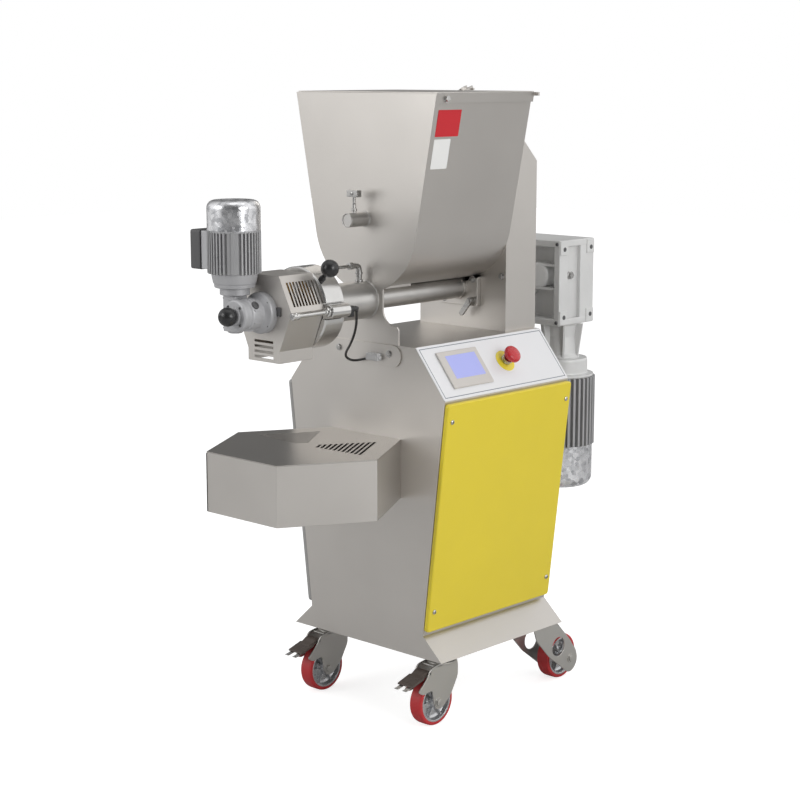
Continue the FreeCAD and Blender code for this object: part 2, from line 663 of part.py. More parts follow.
def round_route(points):
    # straight runs joined by arcs, each as large as its two runs allow
    corners = [Vector(*point) for point in points]
    edges = []
    start = corners[0]
    for index in range(1, len(corners) - 1):
        before, here, after = corners[index - 1], corners[index], corners[index + 1]
        back = before - here
        ahead = after - here
        shorter = min(back.Length, ahead.Length)
        back.normalize()
        ahead.normalize()
        half_turn = (math.pi - back.getAngle(ahead)) / 2
        radius = 0.45 * shorter / math.tan(half_turn)
        first = here + back * 0.45 * shorter
        last = here + ahead * 0.45 * shorter
        middle = (first + last) * 0.5
        sink = radius / math.cos(half_turn) - radius
        top = here + (middle - here).normalize() * sink
        edges.append(Part.LineSegment(start, first).toShape())
        edges.append(Part.Arc(first, top, last).toShape())
        print("cable arc radius %.1f" % radius)
        start = last
    edges.append(Part.LineSegment(start, corners[-1]).toShape())
    return Part.Wire(edges)


def make_cable():
    radius = 3.1
    wire = round_route(CABLE_ROUTE)
    heading = Vector(*CABLE_ROUTE[1]) - Vector(*CABLE_ROUTE[0])
    ring = Part.Wire(Part.makeCircle(radius, Vector(*CABLE_ROUTE[0]), heading))
    item = doc.addObject("Part::Feature", "sensor_cable")
    item.Shape = wire.makePipeShell([ring], True, True)
    print("cable volume ratio %.4f" % (item.Shape.Volume / (math.pi * radius * radius * wire.Length)))
    piece("sensor_cable", item)


def make_cover_plate():
    low = d.cabinet_top - 55.3
    bar = box("cover_bar", (-100, -4, low), (200, 4, 55))
    ends = [cylinder("cover_end_%d" % side, (side * 100, -4, low + 27.5), "y", 27.5, 4) for side in (-1, 1)]
    piece("cover_plate", fuse("cover_plate", bar, *ends))
    piece("cable_connector", box("cable_connector", (17, -21, low + 11), (49, 17, 20.9)))


def make_lock_knob():
    # a ball on a stem that screws into the ring at 45 degrees
    edge = number(d.ring_radius)
    stem = cylinder("lock_stem", (0, 0, edge - 14), "z", 5, 40)
    boss = cylinder("lock_boss", (0, 0, edge + 1), "z", 8, 12)
    head = ball("lock_ball", (0, 0, edge + 44), 22)
    knob = fuse("lock_knob", stem, boss, head)
    knob.Placement = Placement(Vector(0, 12 - number(ring_front), number(barrel_high)),
                               Rotation(Vector(0, 1, 0), 45))
    piece("lock_knob", knob)


def make_fitting():
    back = -21
    high = barrel_high + d.tube_radius + 40
    pipe = cylinder("fitting_pipe", (0, back, high - 48), "z", 7.5, 46)
    bend = ball("fitting_bend", (0, back, high), 8.5)
    arm = cylinder("fitting_arm", (0, back - 25, high), "y", 6, 25)
    nut = hexagon("fitting_nut", (0, back - 37, high), "y", 9, 13)
    stem = cylinder("fitting_stem", (0, back - 91, high), "y", 4.5, 55)
    tube = cylinder("fitting_saddle", (0, back - 39, barrel_high), "y", d.tube_radius, 80)
    solid = fuse("fitting_solid", pipe, bend, arm, nut, stem)
    piece("barrel_fitting", cut("barrel_fitting", solid, tube))


# Guard with the cutter and its gear motor, carried by the rod

def guard_outline():
    # a peaked hood: sloping roof, widest a little above the screw, straight skirt below
    return mirrored([(d.guard_top_half, barrel_high + d.guard_rise), (d.guard_mid_half, barrel_high + 6),
                     (d.guard_top_half, barrel_high - 90), (d.guard_top_half, barrel_high - d.guard_drop)])


def make_guard():
    outer = prism("hood_outer", "XZ_Plane", guard_outline(), -guard_front, d.guard_length)
    half = d.guard_top_half
    inner_points = mirrored([(half - 1.2, barrel_high + d.guard_rise - 2),
                             (d.guard_mid_half - 2.2, barrel_high + 6), (half - 2.2, barrel_high - 89.6),
                             (half - 2.2, barrel_high - d.guard_drop - 3)])
    inner = prism("hood_inner", "XZ_Plane", inner_points, 2 - guard_front, d.guard_length)
    tools = [inner]
    pitch = (d.guard_length - 17.6) / 9
    slot = (60, 6, 56)
    for index in range(9):
        back = 14.6 - guard_front + pitch * index
        for side, corner in (("right", half - 5), ("left", -half - 55)):
            tools.append(box("hood_slot_%s_%d" % (side, index), (corner, back, barrel_high + 19), slot))
    for index in range(4):
        low = barrel_high - 111 + 12.6 * index
        tools.append(box("hood_low_slot_%d" % index, (22 - half, -guard_front - 3.4, low),
                         (half * 2 - 44, 8, 6.2)))
    tools.append(cylinder("hood_shaft_hole", (0, -guard_front - 3.4, barrel_high), "y",
                          d.cutter_shaft_radius + 1, 8))
    piece("guard_hood", cut("guard_hood", outer, *tools))


def make_hinge_rod():
    high = barrel_high
    front = -guard_front - 1.4
    rod = cylinder("rod_long", (d.rod_side, front, high), "y", d.rod_radius, guard_front - ring_front + 45.4)
    collar = cylinder("rod_collar", (d.rod_side, front - 10, high), "y", d.rod_radius + 3.5, 22)
    stop = cylinder("rod_stop", (d.rod_side, -ring_front - 15, high), "y", d.rod_radius + 2.5, 8)
    lug = box("rod_lug", (d.rod_side - 16, front + 2, high - 5), (16, 60, 10))
    clear = prism("rod_clear", "XZ_Plane", guard_outline(), front - 20, 140)
    piece("hinge_rod", cut("hinge_rod", fuse("rod_solid", rod, collar, stop, lug), clear))


def make_cutter():
    high = barrel_high
    front = worm_front + d.hub_radius
    shaft_end = -front - 17.5
    shaft = cylinder("cutter_rod", (0, shaft_end, high), "y", d.cutter_shaft_radius,
                     -ring_front - 1 - shaft_end)
    hub = cylinder("cutter_hub", (0, -ring_front - 16, high), "y", d.cutter_shaft_radius + 6, 16)
    blades = []
    for index in range(3):
        blade = box("cutter_blade_%d" % index, (0, 0, 0), (16, 3, d.die_radius - 14))
        turn = Rotation(Vector(0, 1, 0), 120 * index)
        spot = Vector(0, -number(ring_front) - 3.4, number(high)) + turn.multVec(Vector(-8, 0, 8))
        blade.Placement = Placement(spot, turn)
        blades.append(blade)
    piece("cutter_head", fuse("cutter_head", shaft, hub, *blades))
    neck = cylinder("knob_neck", (0, -front - 12.5, high), "y", 12, 7)
    sphere = ball("knob_ball", (0, -front - d.knob_reach, high), d.knob_radius)
    back = box("knob_back", (-40, -front - 7.5, high - 40), (80, 40, 80))
    bore = cylinder("knob_bore", (0, shaft_end - 1, high), "y", d.cutter_shaft_radius + 0.1, 20)
    solid = fuse("knob_solid", neck, cut("knob_flat", sphere, back))
    piece("adjuster_knob", cut("adjuster_knob", solid, bore))


def make_cutter_gearbox():
    high = barrel_high
    front = -worm_front - d.hub_radius
    face = -guard_front
    hub = cylinder("hub_round", (0, front, high), "y", d.hub_radius, face - 15.9 - front)
    boss = cylinder("hub_boss", (0, front - 4.5, high), "y", 22, 6)
    worm = middle_box("worm_tube", (-d.worm_offset, -worm_front, high - 43), (43, 43, 87))
    web = box("worm_web", (-d.worm_offset - 10, -worm_front - 24, high - 36), (d.worm_offset + 10, 48, 72))
    flange = cylinder("hub_flange", (0, face - 16.2, high), "y", 50, 16.2)
    heads = []
    for sign_x in (-1, 1):
        for sign_z in (-1, 1):
            spot = (sign_x * 33, face - 21, high + sign_z * 26)
            heads.append(hexagon("hub_bolt_%d_%d" % (sign_x, sign_z), spot, "y", 6.5, 7))
    bore = cylinder("hub_bore", (0, front - 17.5, high), "y", d.cutter_shaft_radius + 0.1, face - front + 36)
    solid = fuse("hub_solid", hub, boss, worm, web, flange, *heads)
    piece("cutter_gearbox", cut("cutter_gearbox", solid, bore))


def motor_cap(name, radius, length, corner, wall):
    # a cup: round skirt, rounded shoulder, flat end, open towards the motor
    outer = [(0, length), (radius - corner, length), (radius - corner * 0.29, length - corner * 0.29),
             (radius, length - corner), (radius, 0)]
    inner = [(radius - wall, 0), (radius - wall, length - corner),
             (radius - wall - corner * 0.27, length - wall - corner * 0.27),
             (radius - wall - corner * 0.95, length - wall), (0, length - wall)]
    return turned(name, outer + inner)


def make_cutter_motor():
    spot = (-d.worm_offset, -worm_front, 0)
    radius = d.cutter_fin_radius
    low = barrel_high + 44
    fins = low + 52
    top = fins + d.cutter_fin_length
    profile = [(0, low), (36, low), (36, low + 18), (48.5, low + 18), (51.5, fins), (radius, fins),
               (radius, top), (0, top)]
    stator = turned("cutter_stator", profile, spot)
    base = box("terminal_base", (-d.worm_offset - radius - 16, -worm_front - 36, fins + 7),
               (40, 72, d.cutter_fin_length - 11))
    piece("cutter_motor", fuse("cutter_motor", stator, base))
    lid = box("terminal_lid", (-d.worm_offset - radius - 52, -worm_front - 38, fins + 5),
              (36, 76, d.cutter_fin_length - 7))
    piece("terminal_lid", lid)
    cap = motor_cap("cutter_fan_cover", radius - 0.2, d.cutter_cap_length, 18, 1.6)
    place(cap, (-d.worm_offset, -worm_front, top))
    piece("cutter_fan_cover", cap)


# Rear drive

def make_drive():
    right = d.gear_right
    left = d.gear_left
    low = barrel_high - d.gear_drop
    height = d.gear_drop + d.gear_lift
    housing = box("gear_housing", (-left, gear_front, low), (right + left, d.gear_thick, height))
    side_recess = box("gear_side_recess", (right - 12, gear_front + 38, low + 14), (14, 54, height - 27))
    front_recess = box("gear_front_recess", (18 - left, gear_front - 1, low + 18),
                       (right + left - 38, 46, height - 36))
    solid = cut("gear_hollowed", housing, side_recess, front_recess)
    lantern = cylinder("gear_lantern", (0, column_rear, barrel_high), "y", 56, d.lantern_length + 47)
    cap = cylinder("gear_cap", (66, gear_front + 6, barrel_high + 17), "y", 36, 42)
    motor_top = low - 95
    neck = cylinder("gear_neck", (d.drive_offset, drive_back, motor_top), "z", 47.4, 100)
    bore = cylinder("gear_bore", (0, column_rear - 7, barrel_high), "y", d.screw_drive_radius + d.running_gap,
                    d.lantern_length + 44)
    piece("drive_gearbox", cut("drive_gearbox", fuse("gear_solid", solid, lantern, cap, neck), bore))
    radius = d.drive_fin_radius
    fins_high = motor_top - 50
    fins_low = fins_high - d.drive_fin_length
    profile = [(0, fins_low), (radius, fins_low), (radius, fins_high), (73, fins_high), (73, motor_top),
               (0, motor_top)]
    piece("drive_motor", turned("drive_motor", profile, (d.drive_offset, drive_back, 0)))
    cap_low = motor_cap("drive_fan_cover", radius - 5, d.drive_cap_length, 26, 2)
    place(cap_low, (d.drive_offset, drive_back, fins_low), UPSIDE_DOWN)
    piece("drive_fan_cover", cap_low)


# Fan box below the head

def hexagon_points(side, middle):
    return [(side * math.cos(math.radians(60 * index)), middle + side * math.sin(math.radians(60 * index)))
            for index in range(6)]


def make_fan_box():
    side = number(d.fan_side)
    middle = -side * math.cos(math.radians(30))
    wall = d.sheet_thick
    ring = side * 0.4444
    outer = prism("fan_outer", "XY_Plane", hexagon_points(side, middle), fan_low, d.fan_height - wall)
    inner = prism("fan_inner", "XY_Plane", hexagon_points(side - number(d.fan_wall), middle), fan_low + wall,
                  d.fan_height)
    inlets = []
    for index in range(6):
        angle = math.radians(60 * index)
        spot = (ring * math.cos(angle), middle + ring * math.sin(angle), fan_low - 1)
        inlets.append(cylinder("fan_inlet_%d" % index, spot, "z", 38, 8))
    drum = cylinder("fan_motor", (0, middle, fan_low + 2), "z", 40, 17)
    spindle = cylinder("fan_spindle", (0, middle, fan_low + 2), "z", 5, 60)
    piece("fan_box", fuse("fan_box", cut("fan_open", outer, inner, *inlets), drum, spindle))
    lid = prism("fan_lid_plate", "XY_Plane", hexagon_points(side, middle), fan_high - wall, wall)
    slots = []
    pitch = side / 19.96
    for sign in (-1, 1):
        for index in range(11):
            away = 35 + pitch * index
            slot = box("fan_slot_%d_%d" % (sign, index), (0, 0, 0), (away, 7.2, 8))
            turn = Rotation(Vector(0, 0, 1), -60 * sign)
            base = turn.multVec(Vector(-away / 2, away - 3.6, 0))
            slot.Placement = Placement(Vector(0, middle, number(fan_high) - 6) + base, turn)
            slots.append(slot)
    piece("fan_lid", cut("fan_lid", lid, *slots))
    hub = cylinder("impeller_hub", (0, middle, fan_low + 20), "z", 30, 60)
    disc = cylinder("impeller_disc", (0, middle, fan_low + 20), "z", 120, 3)
    vanes = []
    for index in range(10):
        vane = box("impeller_vane_%d" % index, (0, 0, 0), (60, 3, 55))
        turn = Rotation(Vector(0, 0, 1), 36 * index)
        vane.Placement = Placement(Vector(0, middle, number(fan_low) + 22) + turn.multVec(Vector(58, 0, 0)),
                                   turn.multiply(Rotation(Vector(0, 0, 1), 25)))
        vanes.append(vane)
    bore = cylinder("impeller_bore", (0, middle, fan_low + 10), "z", 5.05, 60)
    piece("fan_impeller", cut("fan_impeller", fuse("impeller_solid", hub, disc, *vanes), bore))


# Castors

def fork_sides(name, points, middle, gap):
    # two equal side plates, one on each side of the wheel
    left = prism(name + "_left", "YZ_Plane", points, middle - gap - d.fork_thick, d.fork_thick)
    right = prism(name + "_right", "YZ_Plane", points, middle + gap, d.fork_thick)
    return [left, right]


def axle_parts(name, middle, back, half):
    # the axle through both side plates, with a bolt head at each end
    spot = (middle - half - 5, back, d.wheel_radius)
    rod = cylinder("axle_" + name, spot, "x", d.axle_radius, half * 2 + 10)
    heads = [hexagon("axle_head_%s_%d" % (name, index), (middle + start, back, d.wheel_radius), "x", 10, 6)
             for index, start in enumerate((-half - 6, half))]
    return [rod] + heads


def make_front_castors():
    top = d.base_low - d.castor_plate
    race_low = top - 10.5
    plates = []
    for sign in (-1, 1):
        plates.append(middle_box("front_top_%d" % sign, (sign * d.castor_side, front_swivel, top),
                                 (100, 84, d.castor_plate)))
        plates.append(cylinder("front_race_%d" % sign, (sign * d.castor_side, front_swivel, race_low), "z",
                               30, 11))
    halves = []
    for index, sign in enumerate((-1, 1)):
        socket = cylinder("front_socket_%d" % index, (sign * d.castor_side, front_swivel, race_low - 6), "z",
                          8.05, 16)
        solid = fuse("castor_solid_%d" % index, plates[2 * index], plates[2 * index + 1])
        halves.append(cut("castor_top_%d" % index, solid, socket))
    piece("castor_plates", group("castor_plates", *halves))
    # the fork's outline: its upper corners follow the castor plate, its lower ones the axle
    high = race_low - 10
    axle = d.wheel_radius
    pivot_back = 2
    pivot_high = high - 10
    wheel_back = d.front_wheel_back
    side = [(wheel_back, high + 4), (wheel_back + 74, high + 4), (wheel_back + 75, high - 38),
            (wheel_back + 49, axle + 10.5), (wheel_back + 19, axle - 14.5), (wheel_back - 9, axle - 17.5),
            (wheel_back - 16, axle - 0.5), (11, high - 53), (-25, high - 59), (-39, high - 50),
            (-10, high - 20), (8, high + 4)]
    root_side = [(8, high - 5), (8, high - 15), (-16, high - 20), (-30, high - 23), (-30, high - 17),
                 (-16, high - 13), (-8, high - 5)]
    pad_side = [(-20, high - 21), (-63, high - 33), (-66, high - 31), (-64, high - 27.5), (-20, high - 14)]
    lever_side = [(-40, high - 25), (-40, high - 31), (-80, high - 38.5), (-80, high - 36), (-60, high - 31)]
    for name, sign in (("left", -1), ("right", 1)):
        middle = sign * number(d.castor_side)
        edge = number(d.fork_gap + d.fork_thick)
        crown = cylinder("crown_" + name, (middle, front_swivel, high), "z", 37, 9.7)
        king = cylinder("king_pin_" + name, (middle, front_swivel, high + 2), "z", 8, 17)
        pivot = cylinder("pedal_pin_" + name, (middle - edge + 2, pivot_back, pivot_high), "x", 3, edge * 2 - 4)
        bridge = box("bridge_" + name, (middle - edge, 20, high), (edge * 2, 80, d.fork_thick))
        parts = [crown, king, pivot, bridge] + axle_parts("front_" + name, middle, wheel_back, edge)
        parts += fork_sides("fork_" + name, side, middle, d.fork_gap)
        piece("fork_front_" + name, fuse("fork_front_" + name, *parts))
        half = d.fork_gap - 2
        root = prism("pedal_root_" + name, "YZ_Plane", root_side, middle - half, half * 2)
        pad = prism("pedal_pad_" + name, "YZ_Plane", pad_side, middle - edge, edge * 2)
        lever = prism("pedal_lever_" + name, "YZ_Plane", lever_side, middle - half, half * 2)
        eye = cylinder("pedal_eye_" + name, (middle - 30, pivot_back, pivot_high), "x", 3.05, 60)
        solid = fuse("pedal_solid_" + name, root, pad, lever)
        piece("brake_pedal_" + name, cut("brake_pedal_" + name, solid, eye))


def make_rear_castors():
    top = d.base_low - d.castor_plate
    back = rear_wheel_back
    side = [(back - 159, top + 1), (back - 60, top + 1), (back - 43, 158.5), (back - 7, 121.5),
            (back + 24, 83), (back + 31, 61), (back + 28, 44), (back + 18, 31), (back + 5, 24),
            (back - 9, 24), (back - 90, 84), (back - 147, 143)]
    both = []
    edge = number(d.rear_fork_gap + d.fork_thick)
    for sign in (-1, 1):
        middle = sign * number(d.castor_side)
        plate = box("rear_top_%d" % sign, (middle - edge, back - 159, top), (edge * 2, 99, d.castor_plate))
        parts = axle_parts("rear_%d" % sign, middle, back, edge)
        parts += fork_sides("rear_fork_%d" % sign, side, middle, d.rear_fork_gap)
        for inner in (-1, 1):
            # a spacer on the axle fills the room between the wheel's hub and the side plate
            start = middle + inner * (d.wheel_width / 2 + 1.3) if inner > 0 else middle - d.rear_fork_gap
            length = d.rear_fork_gap - d.wheel_width / 2 - 1.3
            parts.append(cylinder("spacer_%d_%d" % (sign, inner), (start, back, d.wheel_radius), "x", 12,
                                  length))
        window = cylinder("rear_window_%d" % sign, (middle - 60, back - 53, 107), "x", 27, 120)
        both.append(cut("rear_castor_%d" % sign, fuse("rear_solid_%d" % sign, plate, *parts), window))
    piece("rear_castors", group("rear_castors", *both))


def make_wheels():
    half = d.wheel_width / 2
    hub_half = half + 1
    tread = d.wheel_radius
    inner = tread - d.tyre_thick
    bore = d.axle_radius + d.running_gap
    for name, sign, back in (("front_left", -1, d.front_wheel_back), ("front_right", 1, d.front_wheel_back),
                             ("rear_left", -1, rear_wheel_back), ("rear_right", 1, rear_wheel_back)):
        spot = (sign * d.castor_side, back, tread)
        rubber = [(inner, -half), (tread - 4, -half), (tread, -half + 5), (tread, half - 5), (tread - 4, half),
                  (inner, half)]
        piece("tyre_" + name, turned("tyre_" + name, rubber, spot, TOWARDS_RIGHT))
        web = [(bore, -hub_half), (14, -hub_half), (16, -6), (inner - 8, -4), (inner - 6, -half), (inner, -half),
               (inner, half), (inner - 6, half), (inner - 8, 4), (16, 6), (14, hub_half), (bore, hub_half)]
        piece("hub_" + name, turned("hub_" + name, web, spot, TOWARDS_RIGHT))


make_front_plate()
make_hopper_tub()
make_hopper_lid()
make_mixer()
make_spigot()
make_cabinet()
make_doors()
make_door_screws()
make_controls()
make_column()
make_hex_bolts()
make_barrel()
make_flange_lever()
make_screw()
make_die_head()
make_hinge_block()
make_cable()
make_cover_plate()
make_lock_knob()
make_fitting()
make_guard()
make_hinge_rod()
make_cutter()
make_cutter_gearbox()
make_cutter_motor()
make_drive()
make_fan_box()
make_front_castors()
make_rear_castors()
make_wheels()

doc.recompute()
for item in doc.Objects:
    if "Invalid" in item.State or "Error" in item.State:
        raise RuntimeError("%s is in state %s" % (item.Name, item.State))
os.makedirs("parts", exist_ok=True)
for item in made:
    if item.Shape.isNull() or not item.Shape.isValid():
        raise RuntimeError("%s has no valid shape" % item.Label)
    item.Shape.exportStep("parts/%s.step" % item.Label)
    extent = item.Shape.BoundBox
    print("%-18s solids %d  x %.1f %.1f  y %.1f %.1f  z %.1f %.1f" % (
        item.Label, len(item.Shape.Solids), extent.XMin, extent.XMax, extent.YMin, extent.YMax,
        extent.ZMin, extent.ZMax))
print("pieces %d, frame shift %.3f" % (len(made), number(frame_shift())))
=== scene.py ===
import math
import bmesh
import bpy
import numpy as np
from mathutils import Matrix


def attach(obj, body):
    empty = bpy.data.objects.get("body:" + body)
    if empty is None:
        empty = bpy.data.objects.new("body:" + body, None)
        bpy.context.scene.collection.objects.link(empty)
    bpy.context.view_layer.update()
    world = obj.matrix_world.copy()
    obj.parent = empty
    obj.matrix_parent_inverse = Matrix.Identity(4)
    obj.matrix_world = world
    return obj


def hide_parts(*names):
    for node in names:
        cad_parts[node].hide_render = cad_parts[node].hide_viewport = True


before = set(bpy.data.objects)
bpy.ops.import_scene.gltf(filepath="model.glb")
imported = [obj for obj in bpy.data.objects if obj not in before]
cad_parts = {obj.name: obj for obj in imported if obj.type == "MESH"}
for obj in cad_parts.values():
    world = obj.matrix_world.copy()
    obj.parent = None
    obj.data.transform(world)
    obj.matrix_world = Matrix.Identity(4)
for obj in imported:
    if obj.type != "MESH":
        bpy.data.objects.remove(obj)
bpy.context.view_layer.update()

# Everything below is written in millimetres from the front plate: X to the right, Y to the back, Z up.
# The frame's own origin lies 144 mm behind the front plate, so toFrame moves each point there, in metres.
frameShift = 144.0


def toFrame(points):
    # (x, y, z) mm -> (x, y - shift, z) / 1000
    return (np.asarray(points, float) - np.array([0.0, frameShift, 0.0])) / 1000.0


toRight, toBack, toTop = (1, 0, 0), (0, 1, 0), (0, 0, 1)
toLeft, toFront, toFloor = (-1, 0, 0), (0, -1, 0), (0, 0, -1)


# Camera

view = {"place": (3218.03, -3312.84, 1657.41), "azimuth": 43.065, "elevation": 10.217, "lens": 82.634}
cameraData = bpy.data.cameras.new("viewCamera")
cameraData.lens = view["lens"]
cameraData.sensor_width = 36
camera = bpy.data.objects.new("viewCamera", cameraData)
bpy.context.scene.collection.objects.link(camera)
camera.location = toFrame(view["place"])
camera.rotation_euler = (math.radians(90 - view["elevation"]), 0, math.radians(view["azimuth"]))
bpy.context.scene.camera = camera
print("camera set")


# Colours and materials

def shade(red, green, blue):
    # a screen colour 0-255 to the linear colour that shaders take
    values = np.array([red, green, blue]) / 255
    linear = np.where(values <= 0.04045, values / 12.92, ((values + 0.055) / 1.055) ** 2.4)
    return (*linear.tolist(), 1.0)


def fill(tree, node, inputs):
    # each input takes a value or another node's output
    for socket, value in inputs.items():
        if isinstance(value, bpy.types.NodeSocket):
            tree.links.new(value, node.inputs[socket])
        else:
            node.inputs[socket].default_value = value
    return node


def addNode(tree, kind, inputs=None):
    return fill(tree, tree.nodes.new("ShaderNode" + kind), inputs or {})


def newMaterial(name):
    material = bpy.data.materials.new(name)
    material.use_nodes = True
    tree = material.node_tree
    tree.nodes.clear()
    shader = addNode(tree, "BsdfPrincipled")
    addNode(tree, "OutputMaterial", {0: shader.outputs[0]})
    return material, tree, shader


def addNoise(tree, scale, detail=3.0, stretch=(1, 1, 1), rough=0.55):
    # a noise on Object coordinates, stretched where the finish has a direction
    coords = addNode(tree, "TexCoord")
    mapping = addNode(tree, "Mapping", {"Vector": coords.outputs["Object"], "Scale": stretch})
    noise = addNode(tree, "TexNoise", {"Vector": mapping.outputs[0], "Scale": scale, "Detail": detail,
                                       "Roughness": rough})
    return noise.outputs["Fac"]


def addRange(tree, source, low, high, fromLow=0.3, fromHigh=0.7):
    return addNode(tree, "MapRange", {"Value": source, "From Min": fromLow, "From Max": fromHigh,
                                      "To Min": low, "To Max": high}).outputs["Result"]


def addMix(tree, factor, first, second):
    node = tree.nodes.new("ShaderNodeMix")
    node.data_type = "RGBA"
    return fill(tree, node, {0: factor, 6: first, 7: second}).outputs[2]


def addMath(tree, operation, *values):
    node = tree.nodes.new("ShaderNodeMath")
    node.operation = operation
    return fill(tree, node, dict(enumerate(values))).outputs[0]


def addBump(tree, shader, height, strength, distance, edge=0.0):
    # fine relief, and a soft light on every edge where edge is a radius in metres
    bump = addNode(tree, "Bump", {"Height": height, "Strength": strength, "Distance": distance})
    if edge:
        bevel = addNode(tree, "Bevel", {"Radius": edge})
        bevel.samples = 4
        fill(tree, bump, {"Normal": bevel.outputs[0]})
    fill(tree, shader, {"Normal": bump.outputs[0]})


def scaled(colour, factor):
    return (colour[0] * factor, colour[1] * factor, colour[2] * factor, 1.0)


def grainedSkin(name, colours, broad, fine, roughness, relief, edge):
    # a broad noise drifts between two colours, and a fine one drives the gloss and the relief
    material, tree, shader = newMaterial(name)
    drift = addRange(tree, addNoise(tree, *broad), 0.0, 1.0)
    grain = addNoise(tree, *fine)
    fill(tree, shader, {"Base Color": addMix(tree, drift, *colours),
                        "Roughness": addRange(tree, grain, *roughness)})
    addBump(tree, shader, grain, *relief, edge)
    return material, tree, shader


def sheetSteel(name, colour, roughness=(0.36, 0.46), edge=0.0007):
    # blasted stainless sheet: a fine even grain, broad faint clouding, soft edges
    tones = (scaled(colour, 0.955), scaled(colour, 1.03))
    material, tree, shader = grainedSkin(name, tones, (3.5, 2.0), (900, 2.0), roughness, (0.06, 0.0002), edge)
    fill(tree, shader, {"Metallic": 1.0})
    return material


def turnedSteel(name, colour, stretch, roughness):
    # lathe work: fine rings across the turning axis
    tones = (scaled(colour, 0.9), colour)
    material, tree, shader = grainedSkin(name, tones, (14, 3.0), (60, 4.0, stretch), roughness,
                                         (0.10, 0.0002), 0.0004)
    fill(tree, shader, {"Metallic": 1.0})
    return material


def castMetal(name, colour, metallic=0.35, roughness=(0.42, 0.56)):
    # sand-cast and painted aluminium: a pebbled skin
    tones = (scaled(colour, 0.92), colour)
    material, tree, shader = grainedSkin(name, tones, (9, 3.0), (420, 3.0), roughness, (0.22, 0.0004), 0.0009)
    fill(tree, shader, {"Metallic": metallic})
    return material


def zincSheet(name, bright, dull, scale):
    # hot-dip zinc: flat crystals of differing tone and gloss
    material, tree, shader = newMaterial(name)
    coords = addNode(tree, "TexCoord")
    cells = addNode(tree, "TexVoronoi", {"Vector": coords.outputs["Object"], "Scale": scale,
                                         "Randomness": 1.0})
    apart = addNode(tree, "SeparateColor", {0: cells.outputs["Color"]})
    haze = addRange(tree, addNoise(tree, 35, 5.0, rough=0.7), 0.2, 1.5)
    blend = addMath(tree, "MULTIPLY", apart.outputs[0], haze)
    fill(tree, shader, {"Base Color": addMix(tree, blend, bright, dull), "Metallic": 0.9,
                        "Roughness": addRange(tree, apart.outputs[1], 0.14, 0.34, 0.0, 1.0)})
    addBump(tree, shader, apart.outputs[2], 0.05, 0.0003)
    return material


def plainCoat(name, colour, roughness, scale, bump, coat, edge, spread, glow=0.0):
    # paint, plastics and lit films: a faint skin texture and a slight drift of tone
    tones = (scaled(colour, 1 - spread), scaled(colour, 1 + spread))
    material, tree, shader = grainedSkin(name, tones, (6, 2.0), (scale, 2.0), roughness, (bump, 0.0003), edge)
    fill(tree, shader, {"Coat Weight": coat})
    if glow:
        fill(tree, shader, {"Emission Color": colour, "Emission Strength": glow})
    return material


